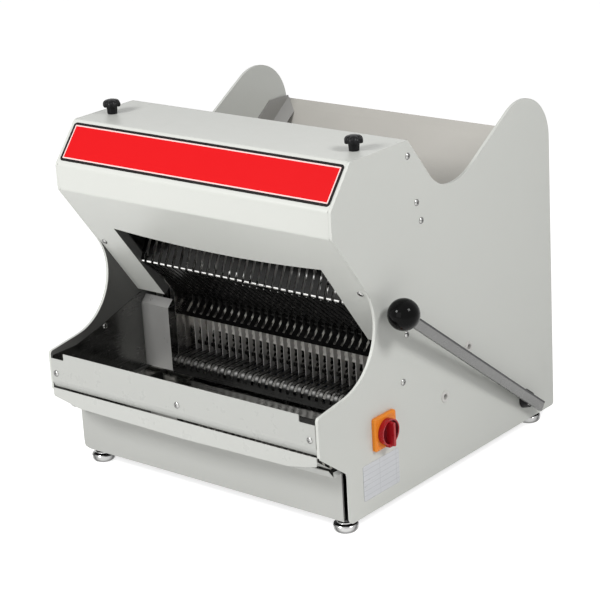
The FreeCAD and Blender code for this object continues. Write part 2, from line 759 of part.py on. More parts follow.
def blade_outline(row_y, drop):
    """Blade in Y and Z: scallops on the loaf's side, a tab at each end toward its carrier."""
    y = size("blade_y")
    half = size("blade_w") / 2
    side = 1 if row_y > y else -1
    seat = row_y - side * size("carrier") / 2
    low = size("blade_foot") - drop
    top = size("blade_top") - drop
    tall = size("carrier_tall")
    points = [(y - half, low + 1)]
    flat = low + CHAMFER[1]
    if side < 0:
        points = [(y - half, low + tall - 1), (seat, low + tall - 1), (seat, flat), (y - half, low + 1)]
    else:
        points = [(y - half, low + 1), (y + half, low + 1), (seat, flat), (seat, low + tall - 1)]
    teeth_low = size("floor_z") - 8 - drop / 2
    count = int((size("ridge_z") + 45 - teeth_low) // size("tooth"))
    right = [(y + half, low + tall - 1 if side > 0 else low + 1)]
    for i in range(count):
        z = teeth_low + (i + 0.5) * size("tooth")
        right.append((y + half - size("tooth_deep"), z))
        right.append((y + half, z + size("tooth") / 2))
    right.append((y + half, top - (tall - 1 if side > 0 else 1)))
    points += right
    if side > 0:
        points += [(seat, top - tall + 1), (seat, top - 1), (y - half, top - 1)]
    else:
        points += [(seat, top - 1), (seat, top - tall + 1), (y - half, top - tall + 1)]
    return rounded(points)


def blade_set(label, first, row_y, drop):
    """Every second blade of the machine as one pattern."""
    start = blade_places()[first]
    outline = blade_outline(row_y, drop)
    body = extrude(label, "YZ_Plane", outline, "Sizes.blade_t", f"{start} - Sizes.blade_t / 2")
    doc.recompute()
    pattern = body.newObject("PartDesign::LinearPattern", label + "_row")
    pattern.Originals = [body.Tip]
    axis = next(f for f in body.Origin.OriginFeatures if f.Role == "X_Axis")
    pattern.Direction = (axis, [""])
    pattern.Occurrences = BLADE_COUNT // 2
    pattern.setExpression("Length", f"2 * Sizes.pitch * {BLADE_COUNT // 2 - 1}")
    body.Tip = pattern
    return keep(body, label)


def frame_pieces(tag, row, row_y, drop):
    """One blade frame: chamfered lower bar with the wrist lugs, yoke of posts and upper bar, slider blocks."""
    half = "Sizes.carrier / 2"
    deep = (f"{row} - {half}", f"{row} + {half}")
    foot = f"Sizes.blade_foot - {drop}"
    top = f"Sizes.blade_top - {drop}"
    low_z = (foot, f"{foot} + Sizes.carrier_tall")
    top_z = (f"{top} - Sizes.carrier_tall", top)
    wide = (str(-BLOCK_X[0]), str(BLOCK_X[0]))
    middle = size("blade_y")
    inward = 1 if row_y < middle else -1
    wrist = wrist_z(drop)
    base = size("blade_foot") - drop
    crown = base + size("carrier_tall")
    face = row_y + inward * size("carrier") / 2
    back = row_y - inward * size("carrier") / 2
    bar = rounded([(face, crown), (back, crown), (back, base), (face - inward * CHAMFER[0], base),
                   (face, base + CHAMFER[1])])
    lower = [extrude(f"lower_bar_{tag}", "YZ_Plane", bar, str(2 * BLOCK_X[0]), str(-BLOCK_X[0]))]
    tip = middle + inward * LUG_END
    lug = rounded([(face, crown), (face, wrist - LUG_END), (tip, wrist - LUG_END, 5), (tip, crown, 5)])
    yoke = [box(f"upper_bar_{tag}", wide, deep, top_z)]
    blocks = []
    for side in (-1, 1):
        lug_x = sorted((side * LUG_X[tag][0], side * LUG_X[tag][1]))
        ear = extrude(f"lug_{tag}_{side + 1}", "YZ_Plane", lug, "Sizes.lug_t", str(lug_x[0]))
        pin_x = sorted((side * WRIST_X[tag][0], side * WRIST_X[tag][1]))
        pin = rod(f"wrist_{tag}_{side + 1}", (str(pin_x[0]), str(pin_x[1])), "Sizes.blade_y", str(wrist),
                  "Sizes.pin_dia / 2")
        lower.append(fused(f"wrist_lug_{tag}_{side + 1}", [ear, pin]))
        post_x = sorted((side * POST_X[0], side * POST_X[1]))
        yoke.append(box(f"post_{tag}_{side + 1}", (str(post_x[0]), str(post_x[1])), deep,
                        (low_z[1], f"{top_z[0]} + 1")))
        block_x = sorted((side * BLOCK_X[0], side * BLOCK_X[1]))
        for level, zs in (("low", low_z), ("top", top_z)):
            name = f"block_{tag}_{side + 1}_{level}"
            solid = box(name + "_body", (str(block_x[0]), str(block_x[1])),
                        (f"{row} - {BLOCK_DEEP / 2}", f"{row} + {BLOCK_DEEP / 2}"), zs)
            bore = rod(name + "_bore", f"{side} * Sizes.guide_x", row, (f"{zs[0]} - 1", f"{zs[1]} + 1"),
                       f"Sizes.guide_dia / 2 + {RUNNING}", "z")
            blocks.append(minus(name, solid, bore))
    keep(grouped(f"lower_carrier_{tag}", lower), f"lower_carrier_{tag}")
    keep(fused(f"frame_yoke_{tag}", yoke), f"frame_yoke_{tag}")
    keep(grouped(f"slider_blocks_{tag}", blocks), f"slider_blocks_{tag}")


def wrist_z(drop):
    """Height of a frame's wrist pins at rest; frame B rests one stroke lower."""
    return size("crank_z") + size("throw") - drop + size("rod_len")


RUNNING = 0.05
AXIAL = size("play")
rod_in = size("disc_x") + size("disc_t") + AXIAL
lug_in = rod_in + size("rod_t") + AXIAL
lug_out = lug_in + size("lug_t") + 0.5
rod_out = lug_out + size("lug_t") + AXIAL
disc_out = rod_out + size("rod_t") + AXIAL
ROD_X = {"a": rod_in, "b": rod_out}
LUG_X = {"a": (lug_in, lug_in + size("lug_t")), "b": (lug_out, lug_out + size("lug_t"))}
WRIST_X = {"a": (rod_in + 0.1, lug_in + 1), "b": (lug_out + 1, rod_out + size("rod_t") - 0.1)}
DISC_X = {"a": size("disc_x"), "b": disc_out}
front_row_y = size("blade_y") - size("blade_w") / 2 - size("carrier_gap") - size("carrier") / 2
back_row_y = size("blade_y") + size("blade_w") / 2 + size("carrier_gap") + size("carrier") / 2

blade_set("blades_a", 0, front_row_y, 0)
blade_set("blades_b", 1, back_row_y, STROKE)
frame_pieces("a", FRONT_ROW, front_row_y, 0)
frame_pieces("b", BACK_ROW, back_row_y, STROKE)

guides = []
for i, (side, row) in enumerate([(s, r) for s in (-1, 1) for r in (FRONT_ROW, BACK_ROW)]):
    guides.append(rod(f"guide_{i}", f"{side} * Sizes.guide_x", row, (str(GUIDE_FOOT), str(GUIDE_TOP)),
                      "Sizes.guide_dia / 2", "z"))
keep(grouped("guide_rods", guides), "guide_rods")

holders = []
for side in (-1, 1):
    hx = sorted((side * 239, side * INNER))
    for level, z in (("low", GUIDE_FOOT), ("top", GUIDE_TOP - 11)):
        name = f"guide_holder_{side + 1}_{level}"
        solid = box(name + "_body", (str(hx[0]), str(hx[1])),
                    (f"{FRONT_ROW} - 9", f"{BACK_ROW} + 9"), (str(z), str(z + 11)))
        bores = fused(name + "_bores", [
            rod(f"{name}_bore_{i}", f"{side} * Sizes.guide_x", row, (str(z - 1), str(z + 12)),
                "Sizes.guide_dia / 2", "z") for i, row in enumerate((FRONT_ROW, BACK_ROW))])
        holders.append(minus(name, solid, bores))
keep(grouped("guide_holders", holders), "guide_holders")

# ---------------------------------------------------------------- crank drive

def crankshaft():
    """Shaft with an eccentric disc for each frame near both ends; the two pairs stand half a turn apart."""
    axis = ("Sizes.blade_y", "Sizes.crank_z")
    inner = size("disc_x")
    outer = disc_out + size("disc_t")
    pieces = [rod("crank_middle", (str(-inner - 1), str(inner + 1)), *axis, "Sizes.crank_dia / 2")]
    for side in (-1, 1):
        neck = sorted((side * inner, side * outer))
        reach = (str(neck[0]), str(neck[1]))
        pieces.append(rod(f"crank_neck_{side + 1}", reach, *axis, "Sizes.neck_dia / 2"))
        end = sorted((side * (outer - 1), side * (BEARING_X[1] + 3)))
        pieces.append(rod(f"crank_end_{side + 1}", (str(end[0]), str(end[1])), *axis, "Sizes.end_dia / 2"))
        for tag, lift in (("a", "+"), ("b", "-")):
            disc = sorted((side * DISC_X[tag], side * (DISC_X[tag] + size("disc_t"))))
            pieces.append(rod(f"eccentric_{tag}_{side + 1}", (str(disc[0]), str(disc[1])), "Sizes.blade_y",
                              f"Sizes.crank_z {lift} Sizes.throw", "Sizes.disc_dia / 2"))
    return keep(fused("crankshaft", pieces), "crankshaft")


BEARING_X = (243, 259)
crankshaft()


def tangent_loop(first, second):
    """Outline around two circles (y, z, radius): two arcs and two tangent lines."""
    p, q = V(first[0], first[1], 0), V(second[0], second[1], 0)
    run = (q - p).normalize()
    lean = math.acos((first[2] - second[2]) / p.distanceToPoint(q))
    base = math.atan2(run.y, run.x)
    up = V(math.cos(base + lean), math.sin(base + lean), 0)
    down = V(math.cos(base - lean), math.sin(base - lean), 0)
    a, b = p + up * first[2], q + up * second[2]
    c, d = q + down * second[2], p + down * first[2]
    return [Part.LineSegment(a, b), Part.Arc(b, q + run * second[2], c),
            Part.LineSegment(c, d), Part.Arc(d, p - run * first[2], a)]


def con_rods(tag, drop):
    """Left and right connecting rod of one frame: a strap of the eccentric's size, a shank and an eye."""
    y = size("blade_y")
    top = wrist_z(drop)
    low = top - size("rod_len")
    strap = size("disc_dia") / 2 + 0.2
    eye = size("pin_dia") / 2 + RUNNING
    rods = []
    for side in (-1, 1):
        start = ROD_X[tag] if side > 0 else -ROD_X[tag] - size("rod_t")
        outer = strap + size("rod_wall")
        name = f"rod_{tag}_{side + 1}"
        loop = tangent_loop((y, low + strap + 2, 6), (y, top, 6.5)) + ring(y, top, eye)
        shank = extrude(name + "_shank", "YZ_Plane", loop, "Sizes.rod_t", str(start))
        rings = ring(y, low, outer) + ring(y, low, strap)
        band = extrude(name + "_band", "YZ_Plane", rings, "Sizes.rod_t", str(start))
        through = (str(start - 1), str(start + size("rod_t") + 1))
        hole = rod(name + "_hole", through, "Sizes.blade_y", str(low), str(strap))
        rods.append(minus(name, fused(name + "_solid", [shank, band]), hole))
    return keep(grouped(f"con_rods_{tag}", rods), f"con_rods_{tag}")


con_rods("a", 0)
con_rods("b", STROKE)

bearings = []
for side in (-1, 1):
    bx = sorted((side * BEARING_X[0], side * BEARING_X[1]))
    name = f"bearing_{side + 1}"
    solid = box(name + "_body", (str(bx[0]), str(bx[1])), ("Sizes.blade_y - 17", "Sizes.blade_y + 17"),
                (f"Sizes.deck_z + {DECK_T}", str(GUIDE_FOOT)))
    bore = rod(name + "_bore", (str(bx[0] - 1), str(bx[1] + 1)), "Sizes.blade_y", "Sizes.crank_z",
               f"Sizes.end_dia / 2 + {RUNNING}")
    bearings.append(minus(f"bearing_{side + 1}", solid, bore))
keep(grouped("crank_bearings", bearings), "crank_bearings")


def pulley(label, y, z, radius, bore, wide):
    """Flanged pulley with a bore."""
    half = wide / 2
    rim = radius + 1.6
    outline = [(bore, -half - 2), (rim, -half - 2), (rim, -half - 0.4), (radius, -half - 0.4),
               (radius, half + 0.4), (rim, half + 0.4), (rim, half + 2), (bore, half + 2)]
    return turned(label, outline, size("pulley_x"), y, z, V(0, 1, 0), 90)


driven = pulley("crank_pulley", size("blade_y"), size("crank_z"), size("crank_pulley") / 2,
                size("crank_dia") / 2, size("belt_w"))
keep(driven, "crank_pulley")
wheel = pulley("motor_wheel", size("motor_y"), size("output_z"), size("motor_pulley") / 2, 6,
               size("belt_w"))
shaft = rod("output_shaft", ("Sizes.pulley_x - 8", "-154"), "Sizes.motor_y", "Sizes.output_z", "7")
keep(fused("motor_pulley", [wheel, shaft]), "motor_pulley")


def belt():
    """Flat belt round both pulleys, a hair off their rims."""
    gap = 0.2
    crank = (size("blade_y"), size("crank_z"), size("crank_pulley") / 2 + gap)
    motor = (size("motor_y"), size("output_z"), size("motor_pulley") / 2 + gap)
    outer = [(y, z, r + size("belt_t")) for y, z, r in (crank, motor)]
    shapes = tangent_loop(*outer) + tangent_loop(crank, motor)
    body = extrude("drive_belt", "YZ_Plane", shapes, "Sizes.belt_w", "Sizes.pulley_x - Sizes.belt_w / 2")
    return keep(body, "drive_belt")


belt()

MOTOR_X = (-128, 62)
motor_body = rod("motor_shell", (str(MOTOR_X[0]), str(MOTOR_X[1])), "Sizes.motor_y", "Sizes.motor_z",
                 "Sizes.motor_dia / 2")
fan_cover = rod("fan_cover", (str(MOTOR_X[1] - 1), str(MOTOR_X[1] + 24)), "Sizes.motor_y", "Sizes.motor_z",
                "Sizes.motor_dia / 2 - 5")
gear_solid = box("gear_case", ("-160", str(MOTOR_X[0] + 1)), ("Sizes.motor_y - 36", "Sizes.motor_y + 36"),
                 ("Sizes.output_z - 30", "Sizes.motor_z + 36"))
gear_bore = rod("gear_bore", ("-161", "-153.5"), "Sizes.motor_y", "Sizes.output_z", "7.05")
motor_solid = fused("gearmotor_solid", [motor_body, fan_cover, gear_solid])
keep(minus("gearmotor", motor_solid, gear_bore), "gearmotor")
cradle_solid = box("cradle_block", (str(MOTOR_X[0] + 14), str(MOTOR_X[1] - 14)),
                   ("Sizes.motor_y - 34", "Sizes.motor_y + 34"),
                   (f"Sizes.deck_z + {DECK_T}", "Sizes.motor_z - Sizes.motor_dia / 4"))
cradle_cut = rod("cradle_cut", (str(MOTOR_X[0]), str(MOTOR_X[1])), "Sizes.motor_y", "Sizes.motor_z",
                 "Sizes.motor_dia / 2 + 0.1")
keep(minus("motor_cradle", cradle_solid, cradle_cut), "motor_cradle")


# ---------------------------------------------------------------- lever, swing frame and pusher

def leaning(start, length, angle):
    """Point at a length from start, leaning forward of upright by an angle in degrees."""
    lean = math.radians(angle)
    return start[0] - length * math.sin(lean), start[1] + length * math.cos(lean)


LEVER_X = (HALF + size("lever_gap"), HALF + size("lever_gap") + size("lever_t"))
BEND = 28
LEVER_TILT = math.degrees(math.atan2(size("lever_out"), size("lever_len") - BEND))
BAR_END = size("ball_dia") / 2 - 2
STUD = 4
STUD_IN = 16
LEVER_PLACE = FreeCAD.Placement(V(LEVER_X[0], *PIVOT), FreeCAD.Rotation(V(1, 0, 0), size("lever_lean")))


def on_bar(distance):
    """Placement on the bar's middle line, at a distance from the ball's centre back along the bar."""
    tilt = math.radians(LEVER_TILT)
    ball = V(size("lever_t") / 2 + size("lever_out"), 0, size("lever_len"))
    point = ball - V(math.sin(tilt), 0, math.cos(tilt)) * distance
    return LEVER_PLACE.multiply(FreeCAD.Placement(point, FreeCAD.Rotation(V(0, 1, 0), LEVER_TILT)))


def lever_bar():
    """Flat bar, bent slightly outward above the shaft, with a stud for the ball."""
    tilt = math.radians(LEVER_TILT)
    run = (size("lever_len") - BEND) / math.cos(tilt) - BAR_END
    path = [(0, -size("lever_tail")), (0, BEND, 90), (run * math.sin(tilt), BEND + run * math.cos(tilt))]
    section = strip_outline(path, -size("lever_t"))
    body = extrude("lever_flat", "XZ_Plane", section, "Sizes.lever_w", midplane=True)
    body.Placement = LEVER_PLACE
    stud = doc.addObject("Part::Cylinder", "lever_stud")
    stud.Radius = STUD
    stud.Height = STUD_IN
    stud.Placement = on_bar(BAR_END)
    return keep(fused("lever_bar", [body, stud]), "lever_bar")


lever_bar()


def ball_knob():
    """Ball with a small flat and the bore for the stud; its half profile is a run of short chords."""
    r = size("ball_dia") / 2
    flat = -BAR_END + size("play")
    start = math.asin(flat / r)
    bore = STUD + 0.02
    depth = STUD_IN - BAR_END + size("play")
    body = doc.addObject("PartDesign::Body", "ball_knob")
    outline = [(bore, flat)]
    for i in range(BALL_CHORDS):
        angle = start + (math.pi / 2 - start) * i / BALL_CHORDS
        outline.append((r * math.cos(angle), r * math.sin(angle)))
    outline += [(0, r), (0, depth), (bore, depth)]
    shapes = rounded(outline)
    sketch = on_plane(body, "XZ_Plane", "ball_outline", shapes)
    spin = body.newObject("PartDesign::Revolution", "ball_turn")
    spin.Profile = sketch
    spin.ReferenceAxis = (sketch, ["V_Axis"])
    spin.Angle = 360
    body.Placement = on_bar(0)
    return keep(body, "ball_knob")


BALL_CHORDS = 14
ball_knob()
ARM_TOP = leaning(PIVOT, size("arm_len"), size("arm_lean"))
LINK_TOP = leaning(LINK, size("arm_len"), size("arm_lean"))
ARM_PIN = 5
LINK_DIA = 12


def arm(name, foot, top, foot_round, hole, side):
    """Flat arm between the shaft and the pusher's pin."""
    start = side * size("arm_x") - size("arm_t") / 2
    outline = tangent_loop((*foot, foot_round), (*top, 9.5)) + ring(*top, hole)
    return extrude(f"{name}_{side + 1}", "YZ_Plane", outline, "Sizes.arm_t", str(start))


def swing_frame():
    """Lever shaft with the two swing arms welded to it; its right end meets the lever bar."""
    shaft = rod("lever_shaft", ("-Sizes.width / 2 - 4", str(LEVER_X[0])), "Sizes.pivot_y", "Sizes.pivot_z",
                "Sizes.shaft_dia / 2")
    arms = [arm("swing_arm", PIVOT, ARM_TOP, 15, ARM_PIN + RUNNING, side) for side in (-1, 1)]
    return keep(fused("swing_frame", [shaft] + arms), "swing_frame")


def link_frame():
    """Second shaft whose arms keep the pusher upright; its upper pivot has more clearance."""
    span = (f"-{INNER} + 0.5", f"{INNER} - 0.5")
    shaft = rod("link_shaft", span, "Sizes.pivot_y - Sizes.link_back", "Sizes.pivot_z",
                str(LINK_DIA / 2))
    arms = [arm("link_arm", LINK, LINK_TOP, 11, ARM_PIN + RUNNING, side) for side in (-1, 1)]
    return keep(fused("link_frame", [shaft] + arms), "link_frame")


swing_frame()
link_frame()


def pusher_plate():
    """Folded plate with a rail at each side that carries the pins."""
    y, low, top = size("push_y"), size("push_low"), size("push_top")
    path = [(y + 16, top), (y, top, 3), (y, low, 3), (y + 16, low)]
    section = strip_outline(path, 2)
    pieces = [extrude("push_sheet", "YZ_Plane", section, "2 * Sizes.push_half", midplane=True)]
    rail = [(y + 2, low + 8), (y + 2, top - 4, 4), (ARM_TOP[0] + 11, ARM_TOP[1] + 10, 9),
            (ARM_TOP[0] + 11, ARM_TOP[1] - 10, 9), (LINK_TOP[0] - 12, ARM_TOP[1] - 10, 20), (y + 22, low + 8, 10)]
    for side in (-1, 1):
        start = size("push_half") - 0.5 if side > 0 else -size("push_half") + 0.5 - RAIL_T
        pieces.append(extrude(f"rail_{side + 1}", "YZ_Plane", rounded(rail), str(RAIL_T), str(start)))
        reach = sorted((side * (size("push_half") + 1), side * (size("arm_x") + size("arm_t") / 2 + 0.5)))
        for name, (py, pz), radius in (("arm", ARM_TOP, ARM_PIN), ("link", LINK_TOP, ARM_PIN - size("play"))):
            limits = (str(reach[0]), str(reach[1]))
            pieces.append(rod(f"{name}_pin_{side + 1}", limits, str(py), str(pz), str(radius)))
    return keep(fused("pusher_plate", pieces), "pusher_plate")


RAIL_T = 3.8
pusher_plate()


def pusher_comb():
    """Strip on the pusher's face with a finger between every two blades."""
    y = size("push_y")
    strip = rectangle(-200, 155, 200, 167)
    body = extrude("pusher_comb", "XZ_Plane", strip, "3", f"-({y})")
    doc.recompute()
    fingers = []
    for i in range(BLADE_COUNT - 1):
        x = (i - (BLADE_COUNT - 2) / 2) * size("pitch")
        fingers += rectangle(x - 2.5, 158, x + 2.5, 164)
    sketch = on_plane(body, "XZ_Plane", "fingers_outline", fingers, f"-({y}) + 2.9")
    pad = body.newObject("PartDesign::Pad", "fingers")
    pad.Profile = sketch
    pad.Length = 43
    return keep(body, "pusher_comb")


pusher_comb()


def bush(name, side, y, z, inner, profile):
    """Turned bush on a side plate; profile gives (radius, distance outward from the plate's outer face)."""
    outline = [(inner, profile[0][1])] + profile + [(inner, profile[-1][1])]
    return turned(name, outline, side * HALF, y, z, V(0, 1, 0), 90 * side)


plate_t = size("plate")
bore = size("shaft_dia") / 2 + RUNNING
spacer = [(BUSH - 0.02, -plate_t), (BUSH - 0.02, 0), (BUSH + 2.5, 0),
          (BUSH + 2.5, size("lever_gap") - size("play"))]
collar = [(BUSH - 0.02, -plate_t), (BUSH - 0.02, 0), (BUSH + 2.5, 0), (BUSH + 2.5, 3)]
inside = [(LINK_DIA / 2 + 8, -plate_t - 12), (LINK_DIA / 2 + 8, -plate_t)]
bushes = [bush("lever_bush_right", 1, *PIVOT, bore, spacer),
          bush("lever_bush_left", -1, *PIVOT, bore, collar)]
for side in (-1, 1):
    bushes.append(bush(f"link_bush_{side + 1}", side, *LINK, LINK_DIA / 2 + RUNNING, inside))
keep(grouped("shaft_bushes", bushes), "shaft_bushes")

# ---------------------------------------------------------------- crumb drawer

DRAWER_TOP = (size("lip_y") - 1.4, size("apron_low") - 2.1)
DRAWER_LOW = (size("lip_y") + 30, size("drawer_foot") + 0.7)


def drawer_front():
    """Sloped lip of the drawer with rounded lower corners and a slightly bowed lower edge."""
    section = strip_outline([DRAWER_TOP, DRAWER_LOW], SHEET)
    body = extrude("drawer_front", "YZ_Plane", section, f"2 * {HOOD_HALF}",
                   midplane=True)
    doc.recompute()
    half = INNER + 1
    low = DRAWER_LOW[1] - 3
    corner = 20
    side_z = low + 7.5
    for side in (-1, 1):
        outer = [(side * half, side_z + corner), (side * half, low - 5), (side * (half - 60), low - 5)]
        turn_in = V(side * (half - 21), side_z - 0.5, 0)
        arc = Part.Arc(V(*outer[0], 0), V(side * (half - 6.5), side_z + 6.2, 0), turn_in)
        shapes = [arc, Part.LineSegment(turn_in, V(side * (half - 80), low + 3.5, 0)),
                  Part.LineSegment(V(side * (half - 80), low + 3.5, 0), V(side * (half - 80), low - 5, 0)),
                  Part.LineSegment(V(side * (half - 80), low - 5, 0), V(side * half, low - 5, 0)),
                  Part.LineSegment(V(side * half, low - 5, 0), V(*outer[0], 0))]
        cut(body, "XZ_Plane", f"drawer_corner_{side + 1}", shapes)
    return keep(body, "drawer_front")


drawer_front()


def drawer_pan():
    """Crumb pan: floor, a front wall behind the lip, low sides and a rear wall."""
    floor = size("drawer_z") - PAN_T
    run = V(DRAWER_LOW[0] - DRAWER_TOP[0], DRAWER_LOW[1] - DRAWER_TOP[1], 0).normalize()
    inner = V(DRAWER_LOW[0], DRAWER_LOW[1], 0) + V(-run.y, run.x, 0) * (SHEET + 0.02)
    corner = inner + run * ((floor - inner.y) / run.y)
    top = inner + run * ((PAN_WALL + 6 - inner.y) / run.y)
    back = size("drawer_back")
    path = [(top.x, top.y), (corner.x, corner.y, 2), (back, floor, 2), (back, PAN_WALL)]
    body = extrude("drawer_pan", "YZ_Plane", strip_outline(path, PAN_T), f"2 * {PAN_HALF}", midplane=True)
    doc.recompute()
    for side in (-1, 1):
        wall = rectangle(corner.x + 1, floor + 0.3, size("drawer_back") - 0.3, PAN_WALL)
        start = PAN_HALF - PAN_T if side > 0 else -PAN_HALF
        sketch = on_plane(body, "YZ_Plane", f"pan_side_{side + 1}_outline", wall, str(start))
        pad = body.newObject("PartDesign::Pad", f"pan_side_{side + 1}")
        pad.Profile = sketch
        pad.Length = PAN_T
    return keep(body, "drawer_pan")


PAN_WALL = 115.5
PAN_HALF = INNER - 1.2 - size("play")
drawer_pan()

# ---------------------------------------------------------------- switch, knobs, feet and small parts

SWITCH = (size("switch_y"), size("switch_z"))
PLATE_DEEP = 7


def switch_plate():
    """Square plate of the rotary switch with rounded corners and a bevelled rim."""
    half = size("switch_plate") / 2
    y, z = SWITCH
    outline = rectangle(y - half, z - half, y + half, z + half, 4) + ring(y, z, HANDLE_HOLE)
    body = extrude("switch_plate", "YZ_Plane", outline, str(PLATE_DEEP), "Sizes.width / 2")
    doc.recompute()
    block = body.Tip
    rim = []
    for i, edge in enumerate(block.Shape.Edges):
        bore = isinstance(edge.Curve, Part.Circle) and edge.Curve.Radius > HANDLE_HOLE - 1
        if edge.BoundBox.XMin > HALF + PLATE_DEEP - 0.01 and not bore:
            rim.append(f"Edge{i + 1}")
    bevel = body.newObject("PartDesign::Chamfer", "switch_bevel")
    bevel.Base = (block, rim)
    bevel.Size = 2
    return keep(body, "switch_plate")


HANDLE_HOLE = 8
switch_plate()


def switch_handle():
    """Round handle with a raised grip bar and a spindle through the plate."""
    y, z = SWITCH
    base = HALF + PLATE_DEEP + size("play")
    skirt = extrude("handle_skirt", "YZ_Plane", ring(y, z, size("switch_dia") / 2), "9", str(base))
    outline = rectangle(y - 6, z - 18, y + 6, z + 18, 5.5)
    grip = extrude("handle_grip", "YZ_Plane", outline, "14", str(base + 8))
    spindle = rod("handle_spindle", (f"{HALF} - 12", f"{base} + 1"), str(y), str(z), str(HANDLE_HOLE - 3))
    return keep(fused("switch_handle", [skirt, grip, spindle]), "switch_handle")


switch_handle()
y, z = SWITCH
inside_x = INNER - 1.2
socket_solid = box("switch_block", (str(inside_x - 42), str(inside_x)), (str(y - 21), str(y + 21)),
                   (str(z - 21), str(z + 21)))
socket_bore = rod("switch_bore", (str(HALF - 12.3), str(HALF + 1)), str(y), str(z), str(HANDLE_HOLE - 2.9))
nose = rod("switch_nose", (f"{inside_x} - 1", str(HALF)), str(y), str(z), str(SWITCH_HOLE - 0.3))
keep(minus("switch_body", fused("switch_solid", [socket_solid, nose]), socket_bore), "switch_body")


def switch_cover():
    """Sheet box over the switch at the tray's right end, open toward the cheek."""
    outer = box("cover_outer", (str(inside_x - 48), str(inside_x)), (str(y - 28), str(y + 30)),
                (str(size("jamb_low") - 1.5), str(z + 26)))
    inner = box("cover_inner", (str(inside_x - 46.8), str(inside_x + 1)), (str(y - 26.8), str(y + 28.8)),
                (str(size("jamb_low") - 0.3), str(z + 24.8)))
    return keep(minus("switch_cover", outer, inner), "switch_cover")


switch_cover()


def hood_knob(side, label):
    """Hand knob: a lobed cap and an eight-sided neck on a stud that passes the hood."""
    x, y, top = side * size("knob_x"), size("knob_y"), size("hood_z")
    reach = size("knob_dia") / 2
    neck_low = top + size("play")
    cap_low = top + size("knob_tall") * 0.42
    lobed = star(x, y, reach, reach * 0.9, LOBES)
    cap = extrude(label + "_cap", "XY_Plane", lobed, "Sizes.knob_tall * 0.58",
                  str(cap_low))
    neck = extrude(label + "_neck", "XY_Plane", star(x, y, reach * 0.66, reach * 0.61, 4),
                   str(cap_low + 1 - neck_low), str(neck_low))
    stud_z = (str(top - 14), str(neck_low + 1))
    stud = rod(label + "_stud", str(x), str(y), stud_z, str(KNOB_HOLE - RUNNING), "z")
    return keep(fused(label, [cap, neck, stud]), label)


def star(x, y, outer, inner, points):
    """Closed outline whose corners lie on two circles by turns."""
    corners = []
    for i in range(2 * points):
        radius = inner if i % 2 else outer
        turn = math.pi * i / points
        corners.append((x + radius * math.cos(turn), y + radius * math.sin(turn)))
    return rounded(corners)


LOBES = 8


hood_knob(-1, "hood_knob_left")
hood_knob(1, "hood_knob_right")

feet = []
for x in (-size("foot_x"), size("foot_x")):
    for y in (size("foot_front"), size("foot_rear")):
        r = size("foot_dia") / 2
        outline = [(0, 0), (r - 2, 0), (r, 12), (r - 5, size("base_z") - 3), (6, size("base_z") - 3),
                   (6, size("deck_z")), (0, size("deck_z"))]
        feet.append(turned(f"foot_{len(feet)}", outline, x, y, 0))
keep(grouped("feet", feet), "feet")


def screw(name, x, y, z, axis, angle):
    """Visible head of a pan head screw; its own +Z points out of the sheet."""
    outline = [(0, 0), (4.3, 0), (3.6, 2.4), (0, 2.4)]
    return turned(name, outline, x, y, z, axis, angle)


screws = []
apron_y = size("lip_y") - size("apron_out")
for x in APRON_SCREWS:
    screws.append(screw(f"screw_{len(screws)}", x, apron_y, APRON_SCREW_Z, V(1, 0, 0), 90))
slope = math.degrees(math.atan2(size("nose_low") - size("bay_z"), size("bay_y") - size("nose_y")))
slope_y = size("nose_y") + (size("nose_low") - STRIP_SCREW[1]) / math.tan(math.radians(slope))
for side in (-1, 1):
    screws.append(screw(f"screw_{len(screws)}", side * STRIP_SCREW[0], slope_y, STRIP_SCREW[1],
                        V(1, 0, 0), 180 - slope))
for side in (-1, 1):
    for y, z in PLATE_SCREWS:
        screws.append(screw(f"screw_{len(screws)}", side * HALF, y, z, V(0, 1, 0), 90 * side))
keep(grouped("screws", screws), "screws")

rings = []
for y, z in PLUGS:
    seat = PLUG_HOLE - 0.02
    outline = [(4.5, -plate_t), (seat, -plate_t), (seat, 0), (10, 0), (9, 1.8), (4.5, 1.8)]
    rings.append(turned(f"plug_{len(rings)}", outline, HALF, y, z, V(0, 1, 0), 90))
keep(grouped("plug_rings", rings), "plug_rings")

neck = GLAND_DIA / 2 - 0.02
gland = [(4, -14), (neck, -14), (neck, 0), (14, 0), (14, 6), (11, 6), (9.5, 18), (4, 18)]
cover_y = size("rear_y") - 2.5
keep(turned("cable_gland", gland, GLAND[0], cover_y, GLAND[1], V(1, 0, 0), -90), "cable_gland")

# ---------------------------------------------------------------- checks and files

doc.recompute()
for item in doc.Objects:
    if "Invalid" in item.State or "Error" in item.State:
        raise RuntimeError(f"{item.Label}: {item.State}")
for piece in NODES:
    if piece.Shape.isNull() or not piece.Shape.isValid() or not piece.Shape.Solids:
        raise RuntimeError(piece.Label + " is not a valid solid")

os.makedirs("parts", exist_ok=True)
for piece in NODES:
    piece.Shape.exportStep(f"parts/{piece.Label}.step")
print(len(NODES), "parts written")
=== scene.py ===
"""Bench bread slicer: plates, hood, combs, blades, drive, lever and fittings, finished around the frame."""

import json
import math

import bmesh
import bpy
from mathutils import Matrix, Vector

